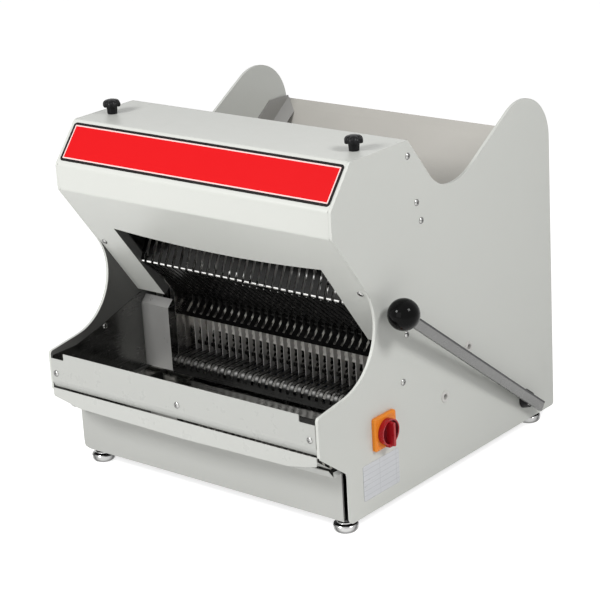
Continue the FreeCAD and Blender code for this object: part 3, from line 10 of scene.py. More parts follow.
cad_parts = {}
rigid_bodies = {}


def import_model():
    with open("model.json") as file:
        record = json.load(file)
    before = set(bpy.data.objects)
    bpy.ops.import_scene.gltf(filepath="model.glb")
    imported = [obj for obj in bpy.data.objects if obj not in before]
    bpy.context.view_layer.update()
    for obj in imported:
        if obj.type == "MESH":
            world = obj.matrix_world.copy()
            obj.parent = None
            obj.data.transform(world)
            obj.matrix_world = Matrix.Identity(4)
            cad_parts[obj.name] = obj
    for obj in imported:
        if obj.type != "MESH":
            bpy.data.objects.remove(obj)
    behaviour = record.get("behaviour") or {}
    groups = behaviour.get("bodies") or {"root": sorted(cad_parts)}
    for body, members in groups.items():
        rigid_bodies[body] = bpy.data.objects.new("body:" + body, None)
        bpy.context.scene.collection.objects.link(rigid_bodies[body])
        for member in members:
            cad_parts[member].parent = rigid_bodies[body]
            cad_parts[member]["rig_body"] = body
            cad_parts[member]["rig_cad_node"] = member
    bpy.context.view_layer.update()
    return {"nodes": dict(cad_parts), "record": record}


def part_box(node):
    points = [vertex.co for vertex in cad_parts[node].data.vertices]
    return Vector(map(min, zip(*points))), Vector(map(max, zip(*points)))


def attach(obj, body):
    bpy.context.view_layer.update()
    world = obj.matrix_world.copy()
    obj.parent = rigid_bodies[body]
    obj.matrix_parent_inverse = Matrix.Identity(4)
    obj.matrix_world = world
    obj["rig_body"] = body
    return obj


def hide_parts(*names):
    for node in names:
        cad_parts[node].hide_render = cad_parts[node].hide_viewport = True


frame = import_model()

bl_info = {
    "name": "Bench Bread Slicer",
    "version": (1, 0, 0),
    "blender": (4, 5, 0),
    "location": "3D View > Sidebar > Slicer",
    "description": "Builds and finishes the pieces of a bench bread slicer",
    "category": "Add Mesh",
}

MM = 0.001
NODE_SLOT = {row["node"]: row["material_slot"] for row in frame["record"]["subparts"]}
MATERIALS = {}


# ---------------------------------------------------------------- places and sizes

# lengths and places are in mm, slopes in radians
PLATE_FACE = 280.0
PLATE_SKIN = 278.6
PLATE_TOE = (-316, 150)
PLATE_SLOPE = math.atan2(40, 56)
INSIDE_END = -60.0
HOOD_NOTCHES = ((-260.5, 516.5), (-260.5, 475.0), (-209.5, 579.0))
HOOD_HEART = Vector((0, -90, 400))

PANEL_LOW = Vector((0, -260.5, 516.5))
PANEL_HIGH = Vector((0, -209.5, 579.0))
PANEL_MARGIN = (7.5, 5.5)
PANEL_BORDER = 4.4
PANEL_LINE = 2.1
PANEL_ROUND = 6.0

LIP_TALL = 29.0
LIP_TAPER = 56.0
LIP_RISE = 14.0
RETURN_TOP = 147.4
RETURN_LONG = 38.6
RETURN_SLOPE = math.atan2(61, 45)

PITCH = 15.0
SLOT_COUNT = 28
SLOT_HALF = 2.75
FINGER_ROOT = -76.0
FINGER_BEND = 14.0
FINGER_LOW = 129.5
BRIGHT_LOW = 123
BRIGHT_RISE = 15
COMB_SHEET = 1.5
GUIDE_FOLDS = ((-154, 334), (-42, 239))

LOAF_TOP = 208.0
GUIDE_TOP = 290.0
PUSHER_TOP = 300.0
COMB_SHADE_FADES = (8, 12)
TOOTH_LINE = -39.5
TOOTH_ZONE = (140.0, 290.0)

MOTOR_AXIS = (84, 84)
MOTOR_START = -127
MOTOR_LONG = 188
MOTOR_RADIUS = 46
FAN_COVER = 62
PIVOT = (228.0, 61.0)
LEVER_MIDDLE = 295.5
LEVER_ACROSS = Vector((0, 0.589, 0.808))
EDGE_SHADE_LINE = 5.6
BUSH_BORE = 11.5

SWITCH = (-162.5, 144.0)
SWITCH_FACE = 287.3
HANDLE_TALL = 9
RATING_LOW = (-216.0, 44.0)
RATING_HIGH = (-125.0, 102.0)
RULE_PITCH = 8.3
RULE_WIDE = 0.55

KNOB_FOOT = 579.0
KNOB_TALL = 24.0
LOBES = 8
FOOT_RADIUS = 20.0
PLATE_SCREWS = ((-71.5, 554), (-53.5, 477), (-43.5, 446), (-92, 277), (-105.5, 203))
SQUARE_SCREWS = (-20.5, 20.5)
APRON_SCREWS = (-264, 0, 264)
STRIP_TOP = (-260.5, 475.0)
STRIP_RUN = (167.5, 228.5)
STRIP_SCREW = (264.6, 366.7)
CHEEK_SCREW = (273.8, -189.0, 220.0)
HOLE_RINGS = ((70.5, 204), (2, 142))
REAR_FACE = 313.5

# shares and strengths
FLOOR_GLOW = 0.76
COMB_SHADE_SHARE = 0.97
RULE_SHARE = 0.45
REFLECTION_BAND_SHARE = 0.9
HIGHLIGHT_FACING = (0, -0.5, 0.866)
HIGHLIGHT_SHARPNESS = 14.0
FINGER_SHARPNESS = 0.6
BUSH_SHARE = 0.78

# the stage's places, in metres
LAMP_AWAY = 2.2
LAMP_AIM = Vector((0, 0, 0.3))
CAMERA_PLACE = (2.0840, -2.4836, 1.3768)

# name, setting of its power, azimuth and elevation in degrees, side in metres
LAMPS = (("lamp_left", "left_lamp", -13, 33, 0.5), ("lamp_right", "right_lamp", 85, 38, 0.5),
         ("lamp_front", "front_lamp", 8, 14, 1.2))


# ---------------------------------------------------------------- settings

def length(name, description, millimetres):
    """A length that the user can change."""
    return bpy.props.FloatProperty(name=name, description=description, default=millimetres * MM,
                                   min=0.0, precision=5, unit="LENGTH", subtype="DISTANCE")


def colour(name, description, red, green, blue):
    """A linear colour that the user can change."""
    return bpy.props.FloatVectorProperty(name=name, description=description, size=3, min=0.0, max=1.0,
                                         default=(red, green, blue), subtype="COLOR")


def amount(name, description, default):
    """A plain share or strength."""
    return bpy.props.FloatProperty(name=name, description=description, default=default, min=0.0)


def angle(name, description, degrees):
    """An angle that the user can change."""
    return bpy.props.FloatProperty(name=name, description=description, default=math.radians(degrees),
                                   subtype="ANGLE", unit="ROTATION")


class SlicerSizes(bpy.types.PropertyGroup):
    """Sizes of what is shaped here."""

    plate_edge: length("Plate edge", "Rounding of the side plates' edges", 0.9)
    sheet_edge: length("Sheet edge", "Rounding of cut sheet edges", 0.35)
    comb_fold: length("Comb fold", "Bend radius of the upper comb", 2.6)
    ball: length("Ball knob", "Radius of the lever's ball", 25.0)
    handle: length("Switch handle", "Radius of the rotary handle", 21.0)
    cap: length("Knob cap", "Radius of the hood knobs' caps", 14.6)
    screw: length("Screw head", "Radius of the pan head screws", 5.2)


class SlicerColours(bpy.types.PropertyGroup):
    """Colours of the finishes."""

    shell: colour("Shell", "Powder coat of the plates and the hood", 0.625, 0.635, 0.600)
    panel: colour("Panel", "Red of the front panel", 0.68, 0.006, 0.009)
    border: colour("Border", "Dark border of the front panel", 0.012, 0.010, 0.010)
    line: colour("Line", "Thin line inside the border", 0.86, 0.62, 0.60)
    chute: colour("Chute", "Inside of the loading chute", 0.485, 0.470, 0.435)
    steel: colour("Sheet steel", "Brushed sheet in the bay", 0.50, 0.49, 0.475)
    comb: colour("Combs", "Dull sheet of the combs", 0.030, 0.030, 0.029)
    blade: colour("Blades", "Ground blade steel", 0.55, 0.54, 0.525)
    handle: colour("Handle", "Red of the rotary handle", 0.42, 0.008, 0.014)
    switch: colour("Switch plate", "Yellow of the switch plate", 0.88, 0.27, 0.022)


class SlicerStage(bpy.types.PropertyGroup):
    """Camera, lamps and surroundings."""

    left_lamp: amount("Left lamp", "Power of the high lamp at the front left, in watts", 27.0)
    right_lamp: amount("Right lamp", "Power of the high lamp at the right, in watts", 19.0)
    front_lamp: amount("Front lamp", "Power of the low lamp in front of the bay, in watts", 6.5)
    ambient: amount("Ambient", "Strength of the pale surroundings on dull surfaces", 0.27)
    lens: bpy.props.FloatProperty(name="Lens", description="Focal length in mm", default=125.09, min=1.0)
    azimuth: angle("Azimuth", "Camera's angle round the machine", 40.08)
    elevation: angle("Elevation", "Camera's angle above the bench", 19.07)
    roll: angle("Roll", "Camera's turn about its own axis", -3.38)


# ---------------------------------------------------------------- tools of the bench

def put_down():
    """Leave edit mode and deselect everything."""
    if bpy.context.object and bpy.context.object.mode != "OBJECT":
        done()
    bpy.ops.object.select_all(action="DESELECT")


def hold(*pieces):
    """Select these pieces alone; the first is the active one."""
    put_down()
    for piece in pieces:
        piece.select_set(True)
    bpy.context.view_layer.objects.active = pieces[0]


def edit(piece):
    """Open a piece in edit mode with nothing selected."""
    hold(piece)
    bpy.ops.object.mode_set(mode="EDIT")
    bpy.ops.mesh.select_all(action="DESELECT")


def done():
    """Back to object mode."""
    bpy.ops.object.mode_set(mode="OBJECT")


def called(piece, name):
    """Piece and its mesh under one name."""
    piece.name = name
    piece.data.name = name
    return piece


def remove(piece):
    """Delete a piece that is used up."""
    hold(piece)
    bpy.ops.object.delete()


def extent(node):
    """Low and high corner of a node's box, in mm."""
    return [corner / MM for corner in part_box(node)]


def middle(face):
    """Middle of a face, in mm."""
    return face.calc_center_median() / MM


def span(edge, axis):
    """How far an edge runs along x, y or z, in mm."""
    return abs(getattr(edge.verts[0].co, axis) - getattr(edge.verts[1].co, axis)) / MM


def choose(kind, test):
    """In edit mode, select the vertices, edges or faces that pass a test."""
    bpy.ops.mesh.select_mode(type=kind)
    bpy.ops.mesh.select_all(action="DESELECT")
    mesh = bpy.context.object.data
    shape = bmesh.from_edit_mesh(mesh)
    parts = {"VERT": shape.verts, "EDGE": shape.edges, "FACE": shape.faces}[kind]
    found = [part for part in parts if test(part)]
    if not found:
        raise RuntimeError(f"{bpy.context.object.name}: nothing to select")
    for part in found:
        part.select_set(True)
    shape.select_flush_mode()
    bmesh.update_edit_mesh(mesh)


def round_edges(test, radius, segments):
    """In edit mode, round the edges that pass a test; the radius is in mm."""
    choose("EDGE", test)
    bpy.ops.mesh.bevel(offset=radius * MM, segments=segments, affect="EDGES")


def move(test, step):
    """In edit mode, move the vertices that pass a test by a step in mm."""
    choose("VERT", test)
    bpy.ops.transform.translate(value=Vector(step) * MM)


def squeeze(kind, test, shares, centre=(0, 0, 0)):
    """In edit mode, scale what passes a test about a point in mm."""
    choose(kind, test)
    bpy.ops.transform.resize(value=shares, center_override=Vector(centre) * MM)


def inset(thickness, depth=0, **settings):
    """In edit mode, inset the chosen faces; both sizes are in mm."""
    bpy.ops.mesh.inset(thickness=thickness * MM, depth=depth * MM, **settings)


def cut(point, normal, **settings):
    """In edit mode, cut the whole mesh by a plane through a point in mm."""
    bpy.ops.mesh.select_all(action="SELECT")
    bpy.ops.mesh.bisect(plane_co=Vector(point) * MM, plane_no=normal, **settings)


def weld(distance):
    """In edit mode, merge all vertices within a distance in metres."""
    bpy.ops.mesh.select_all(action="SELECT")
    bpy.ops.mesh.remove_doubles(threshold=distance)


def apply(piece, kind, **settings):
    """Add a modifier, set it and apply it."""
    hold(piece)
    bpy.ops.object.modifier_add(type=kind)
    modifier = piece.modifiers[-1]
    for key, value in settings.items():
        setattr(modifier, key, value)
    bpy.ops.object.modifier_apply(modifier=modifier.name)


def break_edges(piece, width, segments=2, limit=28, smooth=50):
    """Round the sharp edges by a width in mm and shade the piece so that its flats stay flat."""
    apply(piece, "BEVEL", width=width * MM, segments=segments, limit_method="ANGLE",
          angle_limit=math.radians(limit))
    hold(piece)
    bpy.ops.object.shade_smooth_by_angle(angle=math.radians(smooth))
    apply(piece, "WEIGHTED_NORMAL", keep_sharp=True)


def place(piece, matrix):
    """Write a place and a turn into a piece's mesh."""
    piece.matrix_world = matrix
    hold(piece)
    bpy.ops.object.transform_apply(location=True, rotation=True, scale=True)


def turned_to(spot, turn, axis):
    """Matrix that turns about an axis and then moves to a spot in mm."""
    return Matrix.Translation(Vector(spot) * MM) @ Matrix.Rotation(turn, 4, axis)


def settle(piece, spot=(0, 0, 0), direction=None, turn=0.0):
    """Turn a piece's own Z to a direction, move it to a spot in mm, and write that into its mesh."""
    lean = Vector(direction).to_track_quat("Z", "Y").to_matrix().to_4x4() if direction else Matrix.Identity(4)
    place(piece, Matrix.Translation(Vector(spot) * MM) @ lean @ Matrix.Rotation(turn, 4, "Z"))
    return piece


def twin(piece, name):
    """A copy with its own mesh."""
    hold(piece)
    bpy.ops.object.duplicate()
    return called(bpy.context.object, name)


def joined(pieces, name):
    """Several pieces as one."""
    hold(*pieces)
    bpy.ops.object.join()
    return called(pieces[0], name)


def combined(piece, tool, how):
    """Add a tool to a piece or cut it away; the tool is used up."""
    apply(piece, "BOOLEAN", operation=how, solver="EXACT", object=tool)
    remove(tool)


def lathe(name, profile, steps=48):
    """Turned piece about Z from the corners (radius, height) of its half profile, in mm."""
    put_down()
    bpy.ops.mesh.primitive_plane_add(size=MM)
    piece = called(bpy.context.object, name)
    bpy.ops.object.mode_set(mode="EDIT")
    bpy.ops.mesh.select_mode(type="VERT")
    bpy.ops.mesh.select_all(action="SELECT")
    bpy.ops.mesh.merge(type="CENTER")
    bpy.ops.transform.translate(value=(profile[0][0] * MM, 0, profile[0][1] * MM))
    for (r0, z0), (r1, z1) in zip(profile, profile[1:]):
        step = ((r1 - r0) * MM, 0, (z1 - z0) * MM)
        bpy.ops.mesh.extrude_vertices_move(TRANSFORM_OT_translate={"value": step})
    bpy.ops.mesh.select_all(action="SELECT")
    bpy.ops.mesh.spin(steps=steps, angle=2 * math.pi, center=(0, 0, 0), axis=(0, 0, 1))
    weld(1e-6)
    bpy.ops.mesh.normals_make_consistent(inside=False)
    done()
    return piece


def block(name, low, high):
    """Box between two corners in mm, to be shaped further."""
    put_down()
    bpy.ops.mesh.primitive_cube_add(size=1)
    piece = called(bpy.context.object, name)
    low, high = Vector(low), Vector(high)
    piece.scale = (high - low) * MM
    piece.location = (high + low) / 2 * MM
    bpy.ops.object.transform_apply(location=True, rotation=True, scale=True)
    return piece


def drum(name, radius, low, high, sides):
    """Cylinder about Z between two heights in mm, to be shaped further."""
    put_down()
    bpy.ops.mesh.primitive_cylinder_add(vertices=sides, radius=radius * MM, depth=(high - low) * MM,
                                        location=(0, 0, (high + low) / 2 * MM))
    bpy.ops.object.transform_apply(location=True, rotation=True, scale=True)
    return called(bpy.context.object, name)


def from_node(node, name):
    """Copy of a node whose loose triangles are merged into whole faces."""
    piece = twin(frame["nodes"][node], name)
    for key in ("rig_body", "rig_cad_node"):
        del piece[key]
    piece.parent = None
    edit(piece)
    weld(5e-6)
    bpy.ops.mesh.dissolve_limited(angle_limit=math.radians(0.5))
    done()
    return piece


def fit(piece, *nodes, body=None, slot=None, material=None):
    """Give a piece its finish and its body, and hide the nodes it stands for."""
    slot = slot or NODE_SLOT[nodes[0]]
    finish = OWN_FINISH.get(nodes[0], slot) if nodes else slot
    piece.data.materials.clear()
    piece.data.materials.append(material or MATERIALS[finish])
    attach(piece, body or frame["nodes"][nodes[0]]["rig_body"])
    if nodes:
        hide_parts(*nodes)


def coat(piece, finish, test):
    """Give the faces that pass a test another finish."""
    piece.data.materials.append(MATERIALS[finish])
    edit(piece)
    choose("FACE", test)
    piece.active_material_index = len(piece.data.materials) - 1
    bpy.ops.object.material_slot_assign()
    done()


def sheet_pieces(rows, width, segments=2):
    """Copies of nodes with broken edges, each standing for its node."""
    for node, name in rows:
        piece = from_node(node, name)
        break_edges(piece, width, segments)
        fit(piece, node)


# ---------------------------------------------------------------- finishes

def wire(tree, kind, settings=None, **inputs):
    """Add a node; inputs are constants or sockets, by name."""
    made = tree.nodes.new("ShaderNode" + kind)
    for key, value in (settings or {}).items():
        setattr(made, key, value)
    for key, value in inputs.items():
        socket = made.inputs[int(key[1:])] if key[0] == "_" else made.inputs[key.replace("_", " ")]
        if isinstance(value, bpy.types.NodeSocket):
            tree.links.new(value, socket)
        else:
            socket.default_value = value
    return made


def maths(tree, operation, first, second=0.0, clamp=False):
    """Output of a math node."""
    return wire(tree, "Math", {"operation": operation, "use_clamp": clamp}, _0=first, _1=second).outputs[0]


def times(tree, first, second):
    """Product of two values."""
    return maths(tree, "MULTIPLY", first, second)


def less(tree, first, second):
    """First value less the second."""
    return maths(tree, "SUBTRACT", first, second)


def vectors(tree, operation, first, second=(0, 0, 0), output="Vector"):
    """Output of a vector math node."""
    return wire(tree, "VectorMath", {"operation": operation}, _0=first, _1=second).outputs[output]


def here(tree):
    """Object coordinates."""
    return wire(tree, "TexCoord").outputs["Object"]


def parts_of(tree, vector):
    """A vector's X, Y and Z."""
    return wire(tree, "SeparateXYZ", Vector=vector).outputs


def weighed(tree, first, share, second, other_share):
    """Sum of two values, each times its share."""
    more = times(tree, second, other_share)
    return maths(tree, "ADD", times(tree, first, share), more)


def blend_colours(tree, share, first, second):
    """Output of a colour mix."""
    mix = wire(tree, "Mix", {"data_type": "RGBA", "blend_type": "MIX"}, _0=share, _6=first, _7=second)
    return mix.outputs[2]


def noise(tree, where, scale, detail, roughness):
    """Value of a noise texture."""
    return wire(tree, "TexNoise", Vector=where, Scale=scale, Detail=detail, Roughness=roughness).outputs[0]


def new_group(name, inputs, outputs):
    """Empty node group with named sockets; returns it with its input and output nodes."""
    group = bpy.data.node_groups.new(name, "ShaderNodeTree")
    kinds = {"F": "NodeSocketFloat", "C": "NodeSocketColor", "V": "NodeSocketVector"}
    for side, rows in (("INPUT", inputs), ("OUTPUT", outputs)):
        for label, kind in rows:
            group.interface.new_socket(name=label, in_out=side, socket_type=kinds[kind])
    return group, group.nodes.new("NodeGroupInput").outputs, group.nodes.new("NodeGroupOutput").inputs


SKIN_INPUTS = [("Where", "V"), ("Colour", "C"), ("Roughness", "F"), ("Mottle", "F"), ("Grain", "F")]
SKIN_OUTPUTS = [("Colour", "C"), ("Roughness", "F"), ("Height", "F")]


def skin_outputs(group, given, made, tone, shine, height):
    """What every skin gives: the toned colour, the roughness and the height."""
    swing = times(group, less(group, tone, 0.5), given["Mottle"])
    level = maths(group, "ADD", swing, 1.0)
    grey = wire(group, "CombineXYZ", X=level, Y=level, Z=level).outputs[0]
    group.links.new(vectors(group, "MULTIPLY", given["Colour"], grey), made["Colour"])
    group.links.new(maths(group, "ADD", given["Roughness"], shine, clamp=True), made["Roughness"])
    group.links.new(height, made["Height"])


def skin_group(name, fine, fine_detail, broad, depth):
    """Coated, cast or moulded skin: broad tonal drift, a fine grain and its height."""
    group, given, made = new_group(name, SKIN_INPUTS, SKIN_OUTPUTS)
    drift = noise(group, given["Where"], broad, 3.0, 0.55)
    marks = noise(group, given["Where"], broad * 9, 4.0, 0.6)
    grain_scale = times(group, given["Grain"], fine)
    grain = noise(group, given["Where"], grain_scale, fine_detail, 0.5)
    shine = times(group, less(group, marks, 0.5), 0.22)
    skin_outputs(group, given, made, weighed(group, drift, 0.7, marks, 0.3), shine,
                 weighed(group, grain, depth, marks, 0.15))


def brushed_group():
    """Brushed or ground sheet: long fine scratches along one direction and a slow tonal drift."""
    group, given, made = new_group("Brushed grain", SKIN_INPUTS + [("Stretch", "V")], SKIN_OUTPUTS)
    along = vectors(group, "MULTIPLY", given["Where"], given["Stretch"])
    scratch = noise(group, along, given["Grain"], 4.0, 0.65)
    drift = noise(group, given["Where"], 7.0, 3.0, 0.55)
    smear = noise(group, given["Where"], 38.0, 3.0, 0.6)
    shine = weighed(group, less(group, scratch, 0.5), 0.35,
                    less(group, smear, 0.5), 0.25)
    skin_outputs(group, given, made, weighed(group, scratch, 0.6, drift, 0.4), shine, scratch)


def frame_group():
    """Masks of a rounded rectangle's border and of the line inside it, from a point in its plane."""
    inputs = [("Point", "V"), ("Half", "V"), ("Radius", "F"), ("Border", "F"), ("Line", "F")]
    group, given, made = new_group("Framed print", inputs, [("Border", "F"), ("Line", "F")])
    size = parts_of(group, given["Half"])
    spot = parts_of(group, given["Point"])
    sides = []
    for axis in ("X", "Y"):
        away = maths(group, "ABSOLUTE", spot[axis])
        sides.append(less(group, away, less(group, size[axis], given["Radius"])))
    past_x, past_y = (maths(group, "MAXIMUM", side) for side in sides)
    corner = wire(group, "CombineXYZ", X=past_x, Y=past_y).outputs[0]
    reach = vectors(group, "LENGTH", corner, output="Value")
    inside = maths(group, "MINIMUM", maths(group, "MAXIMUM", *sides))
    depth = less(group, given["Radius"], maths(group, "ADD", reach, inside))
    border = maths(group, "LESS_THAN", depth, given["Border"])
    line_end = maths(group, "ADD", given["Border"], given["Line"])
    group.links.new(border, made["Border"])
    line = less(group, maths(group, "LESS_THAN", depth, line_end), border)
    group.links.new(line, made["Line"])


ALONG_X = (0.02, 1, 1)
ALONG_Y = (1, 0.02, 1)
ALONG_Z = (1, 1, 0.02)


def finish_table(colours):
    """Every finish, by the record's slot or by a name of its own.

    A row holds skin group, colour, metallic, roughness, specular level, mottle, grain, bump and stretch.
    """
    coated, brushed, moulded, cast = "Powder coat", "Brushed grain", "Moulded skin", "Cast skin"
    return {
        "painted_shell": (coated, colours.shell, 0.0, 0.36, 0.42, 0.050, 1.0, 0.10, None),
        "red_panel": (coated, colours.panel, 0.0, 0.42, 0.10, 0.030, 1.2, 0.03, None),
        "stainless_sheet": (brushed, colours.steel, 1.0, 0.22, 0.5, 0.10, 500.0, 0.04, ALONG_X),
        "polished_sheet": (brushed, (0.70, 0.695, 0.68), 1.0, 0.06, 0.5, 0.05, 300.0, 0.006, ALONG_X),
        # bay sheet: a darker copy of the brushed steel, painted shade in the bay
        "bay_sheet": (brushed, (0.17, 0.17, 0.166), 1.0, 0.22, 0.5, 0.08, 300.0, 0.02, ALONG_Y),
        # finger sheet: dark flats; its material adds a painted highlight on the bends
        "finger_steel": (brushed, (0.045, 0.045, 0.044), 1.0, 0.30, 0.5, 0.10, 420.0, 0.02, ALONG_X),
        # bend sheet: bright steel on the comb's first fold, a painted highlight
        "bend_steel": (brushed, (0.85, 0.845, 0.82), 1.0, 0.26, 0.5, 0.06, 420.0, 0.01, ALONG_X),
        # skirt, lip and apron coats: darker and lighter copies of the shell paint, painted shade and light;
        # the apron's is also smoother
        "base_coat": (coated, (0.465, 0.47, 0.448), 0.0, 0.36, 0.42, 0.05, 1.0, 0.08, None),
        "lip_coat": (coated, (0.54, 0.547, 0.52), 0.0, 0.30, 0.42, 0.04, 1.0, 0.05, None),
        "apron_coat": (coated, (0.475, 0.482, 0.458), 0.0, 0.30, 0.42, 0.07, 1.0, 0.08, None),
        # inside coat: dark paint on inner faces, painted shade
        "inside_coat": (coated, (0.13, 0.13, 0.125), 0.0, 0.40, 0.30, 0.08, 1.0, 0.10, None),
        "shadow_gap": (coated, (0.006, 0.006, 0.006), 0.0, 0.70, 0.05, 0.10, 1.0, 0.10, None),
        "satin_sheet": (brushed, (0.44, 0.437, 0.425), 0.55, 0.36, 0.5, 0.08, 500.0, 0.05, ALONG_Z),
        "comb_steel": (brushed, colours.comb, 1.0, 0.20, 0.5, 0.12, 420.0, 0.02, ALONG_X),
        "dark_steel": (coated, (0.035, 0.035, 0.036), 0.0, 0.48, 0.4, 0.25, 0.8, 0.18, None),
        "chute_sheet": (coated, colours.chute, 0.15, 0.42, 0.35, 0.09, 1.1, 0.10, None),
        "cheek_sheet": (coated, (0.29, 0.286, 0.275), 0.4, 0.40, 0.35, 0.09, 1.1, 0.10, None),
        "machined_steel": (brushed, (0.46, 0.455, 0.44), 0.95, 0.30, 0.5, 0.30, 600.0, 0.12, ALONG_X),
        "lever_steel": (brushed, (0.17, 0.17, 0.167), 0.9, 0.30, 0.5, 0.35, 500.0, 0.05, ALONG_Y),
        "chromed_steel": (brushed, (0.46, 0.46, 0.455), 1.0, 0.14, 0.5, 0.06, 300.0, 0.02, ALONG_Z),
        "screw_steel": (brushed, (0.42, 0.42, 0.41), 1.0, 0.16, 0.5, 0.10, 300.0, 0.02, ALONG_Z),
        "blade_steel": (brushed, colours.blade, 0.4, 0.36, 0.5, 0.12, 700.0, 0.03, ALONG_Y),
        "pusher_sheet": (brushed, (0.80, 0.78, 0.73), 0.15, 0.42, 0.4, 0.15, 450.0, 0.06, ALONG_X),
        "foil": (brushed, (0.50, 0.51, 0.53), 0.35, 0.34, 0.5, 0.10, 500.0, 0.04, ALONG_Y),
        "cast_alloy": (cast, (0.40, 0.40, 0.405), 0.75, 0.48, 0.5, 0.22, 1.0, 0.35, None),
        "motor_paint": (cast, (0.055, 0.068, 0.092), 0.0, 0.42, 0.45, 0.18, 1.2, 0.25, None),
        "white_plastic": (moulded, (0.62, 0.61, 0.585), 0.0, 0.46, 0.4, 0.06, 1.0, 0.12, None),
        "belt_rubber": (moulded, (0.018, 0.018, 0.018), 0.0, 0.72, 0.3, 0.30, 1.4, 0.40, None),
        "black_gloss_plastic": (moulded, (0.003, 0.003, 0.003), 0.0, 0.07, 0.07, 0.10, 1.0, 0.01, None),
        "black_plastic": (moulded, (0.006, 0.006, 0.0065), 0.0, 0.34, 0.16, 0.25, 1.2, 0.15, None),
        # handle well: darker red for the well, painted shade
        "handle_well": (moulded, (0.13, 0.003, 0.007), 0.0, 0.34, 0.30, 0.14, 1.0, 0.08, None),
        "yellow_plastic": (moulded, colours.switch, 0.0, 0.38, 0.25, 0.10, 1.0, 0.10, None),
        "red_plastic": (moulded, colours.handle, 0.0, 0.30, 0.30, 0.14, 1.0, 0.08, None),
    }


# nodes whose finish differs from their slot's; the apron, lip and skirt get darker and lighter copies of the
# shell paint, which are painted shade and light
OWN_FINISH = {"apron": "apron_coat", "drawer_front": "lip_coat", "lower_front_panel": "base_coat",
              "lower_comb": "finger_steel", "drawer_pan": "polished_sheet", "tray_cheek_left": "bay_sheet",
              "tray_cheek_right": "bay_sheet", "rear_guard": "polished_sheet", "jamb_left": "satin_sheet",
              "jamb_right": "satin_sheet", "chute_rails": "cheek_sheet", "lever_bar": "lever_steel"}


def finish_material(name, row, recolour=None, *values):
    """Material with one shader, fed by its skin group and a bump; recolour may change its colour."""
    skin, tint, metallic, rough, specular, mottle, grain, strength, stretch = row
    material = bpy.data.materials.new(name)
    material.use_nodes = True
    tree = material.node_tree
    shader = tree.nodes["Principled BSDF"]
    shader.inputs["Metallic"].default_value = metallic
    shader.inputs["Specular IOR Level"].default_value = specular
    body = wire(tree, "Group", {"node_tree": bpy.data.node_groups[skin]}, Where=here(tree),
                Colour=(*tint, 1.0), Roughness=rough, Mottle=mottle, Grain=grain)
    if stretch:
        body.inputs["Stretch"].default_value = stretch
    bump = wire(tree, "Bump", Strength=strength, Distance=0.0004, Height=body.outputs["Height"])
    shown = body.outputs["Colour"]
    if recolour:
        shown = recolour(tree, shown, *values)
    tree.links.new(shown, shader.inputs["Base Color"])
    tree.links.new(body.outputs["Roughness"], shader.inputs["Roughness"])
    tree.links.new(bump.outputs["Normal"], shader.inputs["Normal"])
    return material


def panel_place():
    """Middle, half size and lean of the front panel on the hood's slope, in mm."""
    run = (PANEL_HIGH - PANEL_LOW).normalized()
    low = PANEL_LOW + run * PANEL_MARGIN[0]
    high = PANEL_HIGH - run * PANEL_MARGIN[1]
    half = (extent("front_panel")[1].x, (high - low).length / 2)
    return (low + high) / 2, half, math.atan2(run.z, run.y)


def printed(tree, plain, colours):
    """Red field, dark border and thin line, laid out in the panel's own plane."""
    centre, half, lean = panel_place()
    shifted = vectors(tree, "SUBTRACT", here(tree), tuple(centre * MM))
    flat = wire(tree, "Mapping", Vector=shifted, Rotation=(-lean, 0, 0)).outputs[0]
    masks = wire(tree, "Group", {"node_tree": bpy.data.node_groups["Framed print"]}, Point=flat,
                 Half=(half[0] * MM, half[1] * MM, 0), Radius=PANEL_ROUND * MM, Border=PANEL_BORDER * MM,
                 Line=PANEL_LINE * MM)
    lined = blend_colours(tree, masks.outputs["Line"], plain, (*colours.line, 1.0))
    return blend_colours(tree, masks.outputs["Border"], lined, (*colours.border, 1.0))


def ruled(tree, plain):
    """Plain ruled lines on the rating plate."""
    where = parts_of(tree, here(tree))
    lines = []
    for axis, pitch, start in (("Z", RULE_PITCH, RATING_LOW[1]), ("Y", RULE_PITCH * 5, RATING_LOW[0])):
        offset = less(tree, where[axis], start * MM)
        lines.append(maths(tree, "LESS_THAN", maths(tree, "MODULO", offset, pitch * MM), RULE_WIDE * MM))
    faint = times(tree, maths(tree, "MAXIMUM", *lines), RULE_SHARE)
    return blend_colours(tree, faint, plain, (0.10, 0.10, 0.11, 1.0))


def painted_comb_shade(tree, plain, high):
    """Painted shade of the combs: the steel darkens from the loaf's top up to a height in mm."""
    height = parts_of(tree, here(tree))["Z"]
    above = maths(tree, "DIVIDE", less(tree, height, LOAF_TOP * MM), COMB_SHADE_FADES[0] * MM, clamp=True)
    below = maths(tree, "DIVIDE", less(tree, high * MM, height), COMB_SHADE_FADES[1] * MM, clamp=True)
    dull = times(tree, times(tree, above, below), COMB_SHADE_SHARE)
    return blend_colours(tree, dull, plain, (0.012, 0.012, 0.011, 1))


def painted_finger_highlight(tree, plain):
    """Sheet of the fingers, dark on its flats, with a painted highlight on the bends that face forward and
    up, brightest across each finger's middle and above a height.
    """
    normal = wire(tree, "TexCoord").outputs["Normal"]
    facing = vectors(tree, "DOT_PRODUCT", normal, HIGHLIGHT_FACING, output="Value")
    bend = maths(tree, "POWER", maths(tree, "MAXIMUM", facing, 0.0), HIGHLIGHT_SHARPNESS)
    spot = parts_of(tree, here(tree))
    turn = times(tree, spot["X"], 2 * math.pi / (PITCH * MM))
    wave = maths(tree, "MAXIMUM", maths(tree, "COSINE", turn), 0.0)
    across = maths(tree, "POWER", wave, FINGER_SHARPNESS)
    above = less(tree, spot["Z"], BRIGHT_LOW * MM)
    rise = maths(tree, "DIVIDE", above, BRIGHT_RISE * MM, clamp=True)
    share = times(tree, times(tree, bend, across), rise)
    return blend_colours(tree, share, plain, (0.62, 0.615, 0.60, 1))


